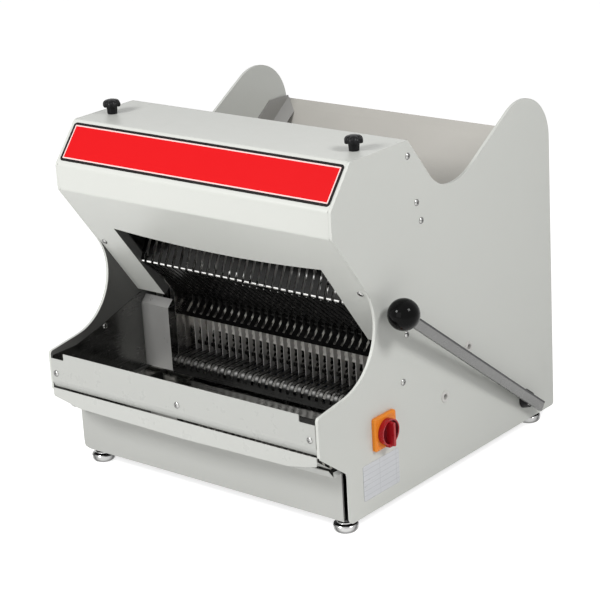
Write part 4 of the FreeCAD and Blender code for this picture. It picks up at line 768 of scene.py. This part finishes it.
def painted_reflection_band(tree, plain, place_of_band, reach):
    """Bright plating with a painted reflection: a dark band at a set angle to the view, as between a pale
    bench and a pale wall.
    """
    facing = wire(tree, "LayerWeight", Blend=0.5).outputs["Facing"]
    away = maths(tree, "ABSOLUTE", less(tree, facing, place_of_band))
    band = maths(tree, "SUBTRACT", 1.0, maths(tree, "DIVIDE", away, reach), clamp=True)
    return blend_colours(tree, times(tree, band, REFLECTION_BAND_SHARE), plain, (0.03, 0.03, 0.03, 1))


class SLICER_OT_finishes(bpy.types.Operator):
    """Make the shared skins and one material for every finish"""

    bl_idname = "slicer.finishes"
    bl_label = "Finishes"

    def execute(self, context):
        colours = context.scene.slicer_colours
        skin_group("Powder coat", 900.0, 2.0, 5.0, 0.8)
        skin_group("Cast skin", 520.0, 4.0, 16.0, 1.0)
        skin_group("Moulded skin", 1500.0, 2.0, 22.0, 0.7)
        brushed_group()
        frame_group()
        # feet and screws get a painted reflection band
        special = {"chromed_steel": ("bright plating", painted_reflection_band, 0.42, 0.26),
                   "screw_steel": ("bright plating", painted_reflection_band, 0.62, 0.48),
                   # the blades and the pusher get painted shade where the combs shade them
                   "blade_steel": ("wiped blade steel", painted_comb_shade, GUIDE_TOP),
                   "pusher_sheet": ("wiped pusher sheet", painted_comb_shade, PUSHER_TOP),
                   "finger_steel": ("polished bends", painted_finger_highlight),
                   "red_panel": ("printed panel", printed, colours),
                   "foil": ("bare foil", ruled)}
        for slot, row in finish_table(colours).items():
            name, *changes = special.get(slot, (slot.replace("_", " "),))
            MATERIALS[slot] = finish_material(name, row, *changes)
        for name, node in frame["nodes"].items():
            node.data.materials.clear()
            node.data.materials.append(MATERIALS[OWN_FINISH.get(name, NODE_SLOT[name])])
        return {"FINISHED"}


# ---------------------------------------------------------------- stage

class SLICER_OT_stage(bpy.types.Operator):
    """Set up the floor, the pale surroundings, three soft lamps and the camera"""

    bl_idname = "slicer.stage"
    bl_label = "Stage"

    def execute(self, context):
        settings = context.scene.slicer_stage
        context.scene.view_settings.view_transform = "Standard"
        self.surroundings(context, settings)
        self.floor()
        for name, power, azimuth, elevation, side in LAMPS:
            self.lamp(name, getattr(settings, power), azimuth, elevation, side)
        self.camera(context, settings)
        return {"FINISHED"}

    def seen(self, tree):
        """One for rays from the camera, a mirror or a clear piece."""
        path = wire(tree, "LightPath").outputs
        direct = maths(tree, "MAXIMUM", path["Is Camera Ray"], path["Is Glossy Ray"])
        return maths(tree, "MAXIMUM", direct, path["Is Transmission Ray"])

    def surroundings(self, context, settings):
        """White where it is seen, softer as light."""
        world = bpy.data.worlds.new("pale surroundings")
        context.scene.world = world
        world.use_nodes = True
        tree = world.node_tree
        background = tree.nodes["Background"]
        background.inputs["Color"].default_value = (1, 1, 1, 1)
        gain = times(tree, self.seen(tree), 1.0 - settings.ambient)
        tree.links.new(maths(tree, "ADD", gain, settings.ambient), background.inputs["Strength"])

    def floor(self):
        """Wide pale bench top, which takes the machine's shadow."""
        put_down()
        bpy.ops.mesh.primitive_plane_add(size=30)
        floor = bpy.context.object
        floor.name = "bench_top"
        bpy.ops.object.mode_set(mode="EDIT")
        bpy.ops.mesh.subdivide(number_cuts=3)
        done()
        material = bpy.data.materials.new("pale bench top")
        material.use_nodes = True
        tree = material.node_tree
        inputs = tree.nodes["Principled BSDF"].inputs
        inputs["Base Color"].default_value = (0.80, 0.80, 0.795, 1)
        inputs["Roughness"].default_value = 0.8
        inputs["Specular IOR Level"].default_value = 0.1
        inputs["Emission Color"].default_value = (1, 1, 1, 1)
        tree.links.new(times(tree, self.seen(tree), FLOOR_GLOW), inputs["Emission Strength"])
        floor.data.materials.append(material)

    def lamp(self, name, power, azimuth, elevation, side):
        """Square soft lamp a little over two metres from the machine's middle."""
        a, e = math.radians(azimuth), math.radians(elevation)
        back = Vector((math.sin(a) * math.cos(e), -math.cos(a) * math.cos(e), math.sin(e)))
        bpy.ops.object.light_add(type="AREA", location=back * LAMP_AWAY + LAMP_AIM)
        lamp = bpy.context.object
        lamp.name = name
        lamp.rotation_euler = (-back).to_track_quat("-Z", "Y").to_euler()
        lamp.data.energy = power
        lamp.data.size = side

    def camera(self, context, settings):
        """Camera at the front right, a little above the machine."""
        tilt = Matrix.Rotation(math.pi / 2 - settings.elevation, 4, "X")
        turn = Matrix.Rotation(settings.azimuth, 4, "Z") @ tilt @ Matrix.Rotation(settings.roll, 4, "Z")
        bpy.ops.object.camera_add(location=CAMERA_PLACE, rotation=turn.to_euler())
        camera = bpy.context.object
        camera.name = "view"
        camera.data.lens = settings.lens
        camera.data.sensor_width = 36
        camera.data.clip_end = 100
        context.scene.camera = camera


# ---------------------------------------------------------------- shell

class SLICER_OT_side_plates(bpy.types.Operator):
    """Right and left side plate with rounded edges and painted shade on the inside"""

    bl_idname = "slicer.side_plates"
    bl_label = "Side plates"

    def execute(self, context):
        for side, name in ((1, "right"), (-1, "left")):
            node = f"side_plate_{name}"
            plate = from_node(node, f"{name}_plate")
            if side > 0:
                self.rebate(plate)
            edit(plate)
            cut((0, INSIDE_END, 0), (0, 1, 0))
            done()
            break_edges(plate, context.scene.slicer_sizes.plate_edge / MM, 3)
            fit(plate, node)
            # the plate's inner faces get painted shade
            coat(plate, "inside_coat", lambda f: f.normal.x * side < -0.98 and abs(middle(f).x) < 275.5
                 and middle(f).y < INSIDE_END)
            if side > 0:
                coat(plate, "shadow_gap", self.in_rebate)
        return {"FINISHED"}

    def rebate(self, plate):
        """Thin the lower front edge from inside, which leaves a gap beside the skirt; its faces are painted
        dark as shadow.
        """
        upright = block("upright", (270, -257, 18), (PLATE_SKIN, -243, 112))
        slant = block("slant", (270, -6, -2.4), (PLATE_SKIN, 66, 2.4))
        place(slant, turned_to((0, *PLATE_TOE), -PLATE_SLOPE, "X"))
        for tool in (upright, slant):
            combined(plate, tool, "DIFFERENCE")

    def in_rebate(self, face):
        """True for the rebate's own faces."""
        spot = middle(face)
        return 275.3 < spot.x < PLATE_SKIN + 0.2 and spot.y < -242.5 and spot.z < 150


class SLICER_OT_hood(bpy.types.Operator):
    """Folded hood with relief notches at its folds, and the printed panel on its slope"""

    bl_idname = "slicer.hood"
    bl_label = "Hood and panel"

    def execute(self, context):
        hood = from_node("hood", "folded_hood")
        for side in (-1, 1):
            for y, z in HOOD_NOTCHES:
                pin = drum("notch", 1.7, -40, 40, 16)
                settle(pin, (side * 275.6, y, z), (0, 1, 0.15))
                combined(hood, pin, "DIFFERENCE")
        break_edges(hood, context.scene.slicer_sizes.sheet_edge / MM)
        fit(hood, "hood")
        # the hood's inner faces get painted shade
        coat(hood, "inside_coat", lambda f: f.normal.dot(middle(f) - HOOD_HEART) < -10)
        self.panel()
        return {"FINISHED"}

    def panel(self):
        """Thin printed plate with rounded corners."""
        centre, half, lean = panel_place()
        panel = block("red_front_panel", (-half[0], -half[1], 0), (half[0], half[1], 0.8))
        edit(panel)
        round_edges(lambda e: span(e, "z") > 0.5, PANEL_ROUND, 8)
        done()
        break_edges(panel, 0.25)
        place(panel, turned_to(centre, lean, "X"))
        fit(panel, "front_panel")


class SLICER_OT_tray(bpy.types.Operator):
    """Apron, tray cheeks, jambs, front skirt and the crumb drawer"""

    bl_idname = "slicer.tray"
    bl_label = "Tray and drawer"

    def execute(self, context):
        rows = [("apron", "front_apron"), ("drawer_pan", "crumb_pan"), ("tray_cheek_left", "left_cheek"),
                ("tray_cheek_right", "right_cheek"), ("jamb_left", "left_jamb"), ("jamb_right", "right_jamb"),
                ("switch_cover", "switch_housing")]
        edge = context.scene.slicer_sizes.sheet_edge / MM
        sheet_pieces(rows, edge)
        self.skirt(edge)
        self.lip(edge)
        # the pan's front and outer faces take the darker copy of the shell paint
        coat(bpy.data.objects["crumb_pan"], "apron_coat",
             lambda f: middle(f).y < -262 or f.normal.x * middle(f).x > 100)
        # the jambs' side faces get the darker bay sheet, painted shade
        for name in ("left_jamb", "right_jamb"):
            coat(bpy.data.objects[name], "bay_sheet", lambda f: abs(f.normal.x) > 0.8)
        return {"FINISHED"}

    def skirt(self, edge):
        """Front skirt, drawn a little forward over the deck's edge and over the left plate's."""
        skirt = from_node("lower_front_panel", "front_skirt")
        edit(skirt)
        move(lambda v: v.co.z < 0.0275, (0, 0, -2.8))
        move(lambda v: v.co.y < -0.2525, (0, -2.3, 0))
        move(lambda v: v.co.x < -0.274, (-5.1, 0, 0))
        move(lambda v: v.co.x > 0.274, (-5.2, 0, 0))
        round_edges(lambda e: 0.3 < span(e, "y") < 4
                    and all(v.co.x < -0.279 and v.co.z < 0.0245 for v in e.verts), 13, 6)
        done()
        break_edges(skirt, edge)
        fit(skirt, "lower_front_panel")

    def lip(self, edge):
        """Drawer lip: upright strip with tapered ends, and the sloped return behind it."""
        low, high = extent("drawer_front")
        foot = high.z - LIP_TALL
        strip = block("drawer_lip", (low.x, low.y, foot), (high.x, low.y + 1.2, high.z - 0.2))
        edit(strip)
        for x in (low.x + LIP_TAPER, 0, high.x - LIP_TAPER):
            cut((x, 0, 0), (1, 0, 0))
        for reach, rise in ((high.x, LIP_RISE), (high.x - LIP_TAPER, 3.0)):
            move(lambda v: abs(abs(v.co.x / MM) - reach) < 0.5 and v.co.z / MM < foot + 1, (0, 0, rise))
        round_edges(lambda e: all(abs(v.co.x / MM) > high.x - 0.5 and v.co.z / MM < high.z - 5
                                  for v in e.verts), 3, 4)
        done()
        back = block("return", (low.x, 0, 0), (high.x, 1, RETURN_LONG))
        place(back, turned_to((0, low.y + 1.0, RETURN_TOP), RETURN_SLOPE - math.pi, "X"))
        lip = joined([strip, back], "drawer_lip")
        break_edges(lip, edge)
        fit(lip, "drawer_front")


class SLICER_OT_combs(bpy.types.Operator):
    """Slotted upper and lower comb with rounded bends"""

    bl_idname = "slicer.combs"
    bl_label = "Combs"

    def execute(self, context):
        self.fingers()
        upper = from_node("upper_comb", "slotted_guide")
        edit(upper)
        round_edges(self.on_fold, context.scene.slicer_sizes.comb_fold / MM, 4)
        done()
        break_edges(upper, 0.22, 1)
        fit(upper, "upper_comb")
        y, z = GUIDE_FOLDS[0]
        # bright steel on the faces of the first fold is a painted highlight
        coat(upper, "bend_steel", lambda f: abs(middle(f).y - y) < 3.5 and abs(middle(f).z - z) < 3.5
             and f.normal.y < -0.3 and f.calc_area() < 4e-5)
        return {"FINISHED"}

    def on_fold(self, edge):
        """True for a sharp edge that runs along X at one of the guide's folds."""
        if span(edge, "y") > 0.01 or span(edge, "z") > 0.01:
            return False
        spot = edge.verts[0].co / MM
        near = any(abs(spot.y - y) < 2.2 and abs(spot.z - z) < 2.2 for y, z in GUIDE_FOLDS)
        return near and edge.calc_face_angle(0) > 0.2

    def fingers(self):
        """Lower comb, whose fingers and band are one rounded sheet."""
        low, high = extent("lower_comb")
        nose = self.rounded("nose", low, (high.x, FINGER_ROOT, high.z), FINGER_BEND)
        hollow = self.rounded("hollow", (low.x - 1, low.y + COMB_SHEET, low.z - 5),
                              (high.x + 1, FINGER_ROOT + 5, high.z - COMB_SHEET), FINGER_BEND - COMB_SHEET)
        combined(nose, hollow, "DIFFERENCE")
        gaps = [(n - (SLOT_COUNT - 1) / 2) * PITCH for n in range(SLOT_COUNT)]
        slots = [block("slot", (x - SLOT_HALF, low.y - 2, FINGER_LOW),
                       (x + SLOT_HALF, FINGER_ROOT + 6, high.z + 3)) for x in gaps]
        combined(nose, joined(slots, "slots"), "DIFFERENCE")
        edit(nose)
        choose("FACE", lambda f: f.normal.y > 0.99 and middle(f).y > FINGER_ROOT - 0.1)
        bpy.ops.mesh.delete(type="FACE")
        done()
        floor = from_node("lower_comb", "slotted_floor")
        edit(floor)
        cut((0, FINGER_ROOT, 0), (0, -1, 0), clear_outer=True)
        done()
        lower = joined([floor, nose], "slotted_floor")
        edit(lower)
        weld(5e-5)
        done()
        break_edges(lower, 0.22, 1, limit=40)
        fit(lower, "lower_comb")

    def rounded(self, name, low, high, radius):
        """Block whose upper front edge is rounded."""
        piece = block(name, low, high)
        edit(piece)
        round_edges(lambda e: all(abs(v.co.y / MM - low[1]) < 0.1 and abs(v.co.z / MM - high[2]) < 0.1
                                  for v in e.verts), radius, 10)
        done()
        return piece


# ---------------------------------------------------------------- blades and drive

class SLICER_OT_blades(bpy.types.Operator):
    """Scalloped blades with ground edges"""

    bl_idname = "slicer.blades"
    bl_label = "Blades"

    def execute(self, context):
        for node, name in (("blades_a", "front_blades"), ("blades_b", "rear_blades")):
            blades = from_node(node, name)
            self.grind(blades)
            fit(blades, node)
        return {"FINISHED"}

    def grind(self, blades):
        """Thin the toothed edge of every blade from a line just behind the scallops."""
        edit(blades)
        cut((0, TOOTH_LINE, 0), (0, 1, 0))
        half_pitch = PITCH / 2
        verts = bmesh.from_edit_mesh(blades.data).verts
        for x in sorted({round(v.co.x / MM / half_pitch) * half_pitch for v in verts}):
            squeeze("VERT", lambda v: abs(v.co.x / MM - x) < 1 and v.co.y / MM > TOOTH_LINE + 0.7
                    and TOOTH_ZONE[0] < v.co.z / MM < TOOTH_ZONE[1], (0.12, 1, 1), (x, 0, 0))
        done()
        hold(blades)
        bpy.ops.object.shade_flat()


class SLICER_OT_blade_frames(bpy.types.Operator):
    """Carriers, yokes, slider blocks, guide rods and their holders"""

    bl_idname = "slicer.blade_frames"
    bl_label = "Blade frames"

    def execute(self, context):
        rows = [("lower_carrier_a", "front_carrier"), ("lower_carrier_b", "rear_carrier"),
                ("frame_yoke_a", "front_yoke"), ("frame_yoke_b", "rear_yoke"),
                ("slider_blocks_a", "front_sliders"), ("slider_blocks_b", "rear_sliders"),
                ("guide_holders", "rod_holders"), ("guide_rods", "polished_rods")]
        sheet_pieces(rows, 0.6)
        return {"FINISHED"}


class SLICER_OT_drive(bpy.types.Operator):
    """Crankshaft, connecting rods, bearings, pulleys, belt and the finned gearmotor"""

    bl_idname = "slicer.drive"
    bl_label = "Crank drive"

    def execute(self, context):
        rows = [("crankshaft", "eccentric_shaft"), ("con_rods_a", "front_rods"), ("con_rods_b", "rear_rods"),
                ("crank_bearings", "shaft_bearings"), ("crank_pulley", "driven_pulley"),
                ("motor_pulley", "driving_pulley"), ("motor_cradle", "motor_seat"),
                ("drive_belt", "flat_belt")]
        sheet_pieces(rows, 0.4)
        self.motor()
        return {"FINISHED"}

    def motor(self):
        """Motor drum with cooling fins, a ringed fan cover and the gear case."""
        shell = drum("finned_gearmotor", MOTOR_RADIUS, 0, MOTOR_LONG, 72)
        edit(shell)
        grooves = set(range(-170, 181, 10))
        choose("FACE", lambda f: abs(f.normal.z) < 0.5
               and round(math.degrees(math.atan2(f.normal.y, f.normal.x)) - 2.5) in grooves)
        inset(0.7, -3.2, use_individual=True)
        done()
        break_edges(shell, 0.3, 1)
        settle(shell, (MOTOR_START, *MOTOR_AXIS), (1, 0, 0))
        cover = drum("fan_cover", 41, 0, 23, 64)
        edit(cover)
        choose("FACE", lambda f: f.normal.z > 0.9)
        for thickness, depth in ((5, 0), (1.2, -1.5), (8, 0), (1.2, 1.2)):
            inset(thickness, depth)
        done()
        break_edges(cover, 1.2, 3)
        settle(cover, (FAN_COVER, *MOTOR_AXIS), (1, 0, 0))
        case = from_node("gearmotor", "gear_case")
        edit(case)
        cut((MOTOR_START - 0.2, 0, 0), (1, 0, 0), clear_outer=True, use_fill=True)
        done()
        break_edges(case, 3.5, 3, limit=60)
        fit(joined([shell, cover, case], "finned_gearmotor"), "gearmotor")


# ---------------------------------------------------------------- lever, pusher and chute

class SLICER_OT_lever(bpy.types.Operator):
    """Lever bar, ball knob, shafts with their arms and the plate bushes"""

    bl_idname = "slicer.lever"
    bl_label = "Lever"

    def execute(self, context):
        sheet_pieces([("lever_bar", "flat_lever")], 1.1, 3)
        self.painted_edge_shade(bpy.data.objects["flat_lever"])
        sheet_pieces([("swing_frame", "lever_shaft"), ("link_frame", "link_shaft")], 0.5)
        self.bushes()
        self.ball(context.scene.slicer_sizes.ball / MM)
        return {"FINISHED"}

    def painted_edge_shade(self, bar):
        """Painted shade: a black line along the bar's upper edge."""
        line = Vector((0, *PIVOT)) + LEVER_ACROSS * EDGE_SHADE_LINE
        edit(bar)
        cut(line, LEVER_ACROSS)
        done()
        coat(bar, "dark_steel", lambda f: (middle(f) - line).dot(LEVER_ACROSS) > 0.1)

    def bushes(self):
        """Plate bushes, drawn in a little outside the right plate; their bores stay."""
        bushes = from_node("shaft_bushes", "plate_bushes")
        edit(bushes)
        squeeze("VERT", lambda v: v.co.x / MM > PLATE_FACE + 0.3
                and (v.co.yz / MM - Vector(PIVOT)).length > BUSH_BORE,
                (1, BUSH_SHARE, BUSH_SHARE), (PLATE_FACE, *PIVOT))
        done()
        break_edges(bushes, 0.5)
        fit(bushes, "shaft_bushes")

    def ball(self, radius):
        """Polished ball, cut flat where the bar's stud enters, with a short moulded collar."""
        low, high = extent("ball_knob")
        centre = Vector((high.x - radius, low.y + radius, high.z - radius))
        put_down()
        bpy.ops.mesh.primitive_uv_sphere_add(segments=72, ring_count=48, radius=radius * MM)
        ball = bpy.context.object
        ball.name = "ball_grip"
        edit(ball)
        cut((0, 0, -radius * 0.908), (0, 0, -1), clear_outer=True, use_fill=True)
        choose("FACE", lambda f: f.normal.z < -0.99)
        for thickness, depth in ((1.4, 0.9), (4.0, 0), (0.3, -6.0)):
            inset(thickness, depth)
        done()
        break_edges(ball, 0.5, limit=40, smooth=40)
        settle(ball, centre, centre - Vector((LEVER_MIDDLE, *PIVOT)))
        fit(ball, "ball_knob")


class SLICER_OT_pusher(bpy.types.Operator):
    """Loaf pusher with its finger comb"""

    bl_idname = "slicer.pusher"
    bl_label = "Pusher"

    def execute(self, context):
        sheet_pieces([("pusher_plate", "loaf_pusher"), ("pusher_comb", "pusher_fingers")], 0.5)
        return {"FINISHED"}


class SLICER_OT_chute(bpy.types.Operator):
    """Loading chute, channel walls, rear guard, rear cover, the inner bars and the deck"""

    bl_idname = "slicer.chute"
    bl_label = "Chute and rear"

    def execute(self, context):
        rows = [("chute_plate", "chute_back"), ("chute_rails", "chute_guides"),
                ("loading_floor", "loading_shelf"), ("channel_wall_left", "left_wall"),
                ("channel_wall_right", "right_wall"),
                ("rear_guard", "blade_guard"), ("rear_cover", "vented_cover"), ("cross_bars", "tie_bars"),
                ("base_plate", "deck")]
        sheet_pieces(rows, context.scene.slicer_sizes.sheet_edge / MM)
        return {"FINISHED"}


# ---------------------------------------------------------------- fittings

class SLICER_OT_switch(bpy.types.Operator):
    """Rotary switch: square plate with four screws, round handle with a raised grip, and its body"""

    bl_idname = "slicer.switch"
    bl_label = "Rotary switch"

    def execute(self, context):
        sheet_pieces([("switch_plate", "switch_square")], 0.6)
        sheet_pieces([("switch_body", "switch_block")], 0.8)
        self.handle(context.scene.slicer_sizes.handle / MM)
        self.corner_screws()
        return {"FINISHED"}

    def handle(self, radius):
        """Handle with a raised rim, a deep well and a tapered grip whose nose passes the rim."""
        disc = drum("round_handle", radius, 0, HANDLE_TALL, 72)
        edit(disc)
        choose("FACE", lambda f: f.normal.z > 0.9)
        inset(2.2)
        inset(3.0, -6.5)
        done()
        grip = block("grip", (-18.5, -3.6, 1.5), (23.5, 3.6, 16.0))
        edit(grip)
        squeeze("FACE", lambda f: f.normal.z > 0.9, (0.92, 0.66, 1))
        round_edges(lambda e: span(e, "z") > 5, 2.2, 4)
        done()
        combined(grip, block("nose", (18, -4.5, 1.0), (24.3, 4.5, 9)), "UNION")
        combined(disc, grip, "UNION")
        combined(disc, drum("spindle", 5, -19, 1, 32), "UNION")
        break_edges(disc, 0.55, 3, limit=32, smooth=45)
        place(disc, turned_to((SWITCH_FACE, *SWITCH), math.pi / 2, "Y"))
        fit(disc, "switch_handle")
        rim = Vector((SWITCH_FACE + HANDLE_TALL, *SWITCH))
        # the well's faces get a darker red, painted shade
        coat(disc, "handle_well", lambda f: middle(f).x < rim.x - 0.6 and f.normal.x > 0.2
             and (middle(f) - rim).yz.length < 20)

    def corner_screws(self):
        """Small dark recessed screws at the plate's corners."""
        screws = []
        profile = [(0, 0), (2.6, 0), (2.6, 0.5), (1.6, 0.9), (1.2, 0.4), (0, 0.4)]
        for dy in SQUARE_SCREWS:
            for dz in SQUARE_SCREWS:
                screw = lathe("plate_screw", profile, 24)
                settle(screw, (SWITCH_FACE - 0.4, SWITCH[0] + dy, SWITCH[1] + dz), (1, 0, 0))
                screws.append(screw)
        row = joined(screws, "switch_plate_screws")
        break_edges(row, 0.15, 1)
        fit(row, body="machine", slot="yellow_plastic")


class SLICER_OT_rating_plate(bpy.types.Operator):
    """Bare foil plate below the switch"""

    bl_idname = "slicer.rating_plate"
    bl_label = "Rating plate"

    def execute(self, context):
        plate = block("bare_rating_plate", (PLATE_FACE - 0.1, *RATING_LOW), (PLATE_FACE + 0.35, *RATING_HIGH))
        edit(plate)
        round_edges(lambda e: span(e, "x") > 0.3, 3, 5)
        done()
        break_edges(plate, 0.12, 1)
        fit(plate, body="machine", slot="stainless_sheet", material=MATERIALS["foil"])
        return {"FINISHED"}


class SLICER_OT_hand_knobs(bpy.types.Operator):
    """Lobed hand knobs on the hood"""

    bl_idname = "slicer.hand_knobs"
    bl_label = "Hand knobs"

    def execute(self, context):
        for side, name in ((-1, "left"), (1, "right")):
            low, high = extent(f"hood_knob_{name}")
            knob = self.knob(f"lobed_knob_{name}", context.scene.slicer_sizes.cap / MM, KNOB_TALL)
            settle(knob, ((low.x + high.x) / 2, (low.y + high.y) / 2, KNOB_FOOT), turn=0.3 * side)
            fit(knob, f"hood_knob_{name}")
        return {"FINISHED"}

    def knob(self, name, radius, tall):
        """Cap with eight lobes, faceted neck and plain stud."""
        dome = [(0, 1.0), (0.4, 0.985), (0.7, 0.94), (0.9, 0.85), (1.0, 0.72), (1.0, 0.56), (0.94, 0.5),
                (0, 0.5)]
        cap = lathe(name, [(r * radius, z * tall) for r, z in dome], LOBES * 6)
        edit(cap)
        squeeze("VERT", lambda v: v.co.xy.length > radius * MM * 0.5
                and math.cos(LOBES * math.atan2(v.co.y, v.co.x)) < -0.4, (0.84, 0.84, 1))
        done()
        break_edges(cap, 0.7, limit=35)
        neck = drum("neck", radius * 0.64, 0.3, tall * 0.5, 8)
        edit(neck)
        squeeze("FACE", lambda f: f.normal.z < -0.9, (0.9, 0.9, 1))
        done()
        break_edges(neck, 0.8, 3)
        stud = lathe("stud", [(0, -14), (4.2, -14), (4.9, -13), (4.9, 1), (0, 1)], 32)
        break_edges(stud, 0.2, 1)
        return joined([cap, neck, stud], name)


class SLICER_OT_feet(bpy.types.Operator):
    """Chromed feet"""

    bl_idname = "slicer.feet"
    bl_label = "Feet"

    def execute(self, context):
        low, high = extent("feet")
        profile = [(0, 0), (14, 0), (17.5, 1.2), (19.6, 4.0), (20, 7.5), (20, 11.5), (18.6, 13.4),
                   (15.5, 14.4), (13.5, 15.2), (13.5, 17), (6, 17), (6, 24), (0, 24)]
        first = lathe("foot", profile)
        break_edges(first, 0.4, limit=35, smooth=40)
        feet = []
        for x in (low.x + FOOT_RADIUS, high.x - FOOT_RADIUS):
            for y in (low.y + FOOT_RADIUS, high.y - FOOT_RADIUS):
                feet.append(settle(twin(first, f"foot_{len(feet)}"), (x, y, 0)))
        remove(first)
        fit(joined(feet, "chromed_feet"), "feet")
        return {"FINISHED"}


class SLICER_OT_fasteners(bpy.types.Operator):
    """Cross-slotted pan head screws, hole rings and the cable gland"""

    bl_idname = "slicer.fasteners"
    bl_label = "Fasteners"

    def execute(self, context):
        pattern = self.pattern(context.scene.slicer_sizes.screw / MM)
        screws = []
        for i, (spot, direction) in enumerate(self.places()):
            screws.append(settle(twin(pattern, f"screw_{i}"), spot, direction, turn=0.7 * i))
        remove(pattern)
        fit(joined(screws, "pan_head_screws"), "screws", material=MATERIALS["screw_steel"])
        self.rings()
        self.gland()
        return {"FINISHED"}

    def places(self):
        """Place and outward direction of every screw."""
        places = [((x, -317.5, 180), (0, -1, 0)) for x in APRON_SCREWS]
        x, z = STRIP_SCREW
        y = STRIP_TOP[0] + STRIP_RUN[0] * (STRIP_TOP[1] - z) / STRIP_RUN[1]
        lean = Vector((0, -STRIP_RUN[1], -STRIP_RUN[0])).normalized()
        for side in (-1, 1):
            places.append(((side * x, y, z), lean))
            places += [((side * PLATE_FACE, *spot), (side, 0, 0)) for spot in PLATE_SCREWS]
            places.append(((side * CHEEK_SCREW[0], *CHEEK_SCREW[1:]), (-side, 0, 0)))
        return places

    def pattern(self, radius):
        """Domed head with a cross recess, on a thin washer face."""
        dome = [(0, -0.2), (radius, -0.2), (radius, 0.7), (radius * 0.86, 1.7), (radius * 0.5, 2.35),
                (0, 2.4)]
        head = lathe("screw", dome, 32)
        for turn in (0, math.pi / 2):
            slot = block("slot", (-2.3, -0.45, 1.1), (2.3, 0.45, 4))
            combined(head, settle(slot, turn=turn), "DIFFERENCE")
        break_edges(head, 0.12, 1, limit=40, smooth=35)
        return head

    def rings(self):
        """Rings that close two access holes of the right plate."""
        profile = [(4.5, -5), (6.98, -5), (6.98, 0), (10, 0), (9.6, 1.2), (8.2, 1.8), (5.6, 1.8), (4.5, 1.0),
                   (4.5, -5)]
        rings = []
        for spot in HOLE_RINGS:
            rings.append(settle(lathe(f"ring_{len(rings)}", profile, 40), (PLATE_FACE, *spot), (1, 0, 0)))
        for ring in rings:
            break_edges(ring, 0.25)
        fit(joined(rings, "hole_rings"), "plug_rings")

    def gland(self):
        """Cable gland: flange nut with six flats, domed cap and bore."""
        low, high = extent("cable_gland")
        profile = [(4, -14), (9.98, -14), (9.98, 0), (14, 0), (14, 6), (11, 7), (11, 13), (9.6, 16.6),
                   (8, 18), (4, 18), (4, -14)]
        gland = lathe("gland", profile)
        for side in range(6):
            flat = block("flat", (12.2, -12, -0.5), (20, 12, 6.8))
            combined(gland, settle(flat, turn=math.pi / 3 * side), "DIFFERENCE")
        break_edges(gland, 0.3, limit=35)
        settle(gland, ((low.x + high.x) / 2, REAR_FACE, (low.z + high.z) / 2), (0, 1, 0))
        fit(gland, "cable_gland")


# ---------------------------------------------------------------- add-on

STEPS = (SLICER_OT_finishes, SLICER_OT_stage, SLICER_OT_side_plates, SLICER_OT_hood, SLICER_OT_tray,
         SLICER_OT_combs, SLICER_OT_blades, SLICER_OT_blade_frames, SLICER_OT_drive, SLICER_OT_lever,
         SLICER_OT_pusher, SLICER_OT_chute, SLICER_OT_switch, SLICER_OT_rating_plate, SLICER_OT_hand_knobs,
         SLICER_OT_feet, SLICER_OT_fasteners)
SETTINGS = (("slicer_sizes", SlicerSizes), ("slicer_colours", SlicerColours), ("slicer_stage", SlicerStage))


class SLICER_PT_pieces(bpy.types.Panel):
    """Sizes, colours and the steps that make the machine"""

    bl_idname = "SLICER_PT_pieces"
    bl_label = "Bench Bread Slicer"
    bl_space_type = "VIEW_3D"
    bl_region_type = "UI"
    bl_category = "Slicer"

    def draw(self, context):
        for name, kind in SETTINGS:
            box = self.layout.box()
            for prop in kind.__annotations__:
                box.prop(getattr(context.scene, name), prop)
        for step in STEPS:
            self.layout.operator(step.bl_idname)


def register():
    """Register the classes and hang the settings on the scene."""
    for name, kind in SETTINGS:
        bpy.utils.register_class(kind)
        setattr(bpy.types.Scene, name, bpy.props.PointerProperty(type=kind))
    for kind in (*STEPS, SLICER_PT_pieces):
        bpy.utils.register_class(kind)


def unregister():
    """Take everything off again."""
    for kind in reversed((*STEPS, SLICER_PT_pieces)):
        bpy.utils.unregister_class(kind)
    for name, kind in reversed(SETTINGS):
        delattr(bpy.types.Scene, name)
        bpy.utils.unregister_class(kind)


def main():
    """Make every piece in order."""
    register()
    for step in STEPS:
        group, action = step.bl_idname.split(".")
        getattr(getattr(bpy.ops, group), action)()
    put_down()


if __name__ == "__main__":
    main()
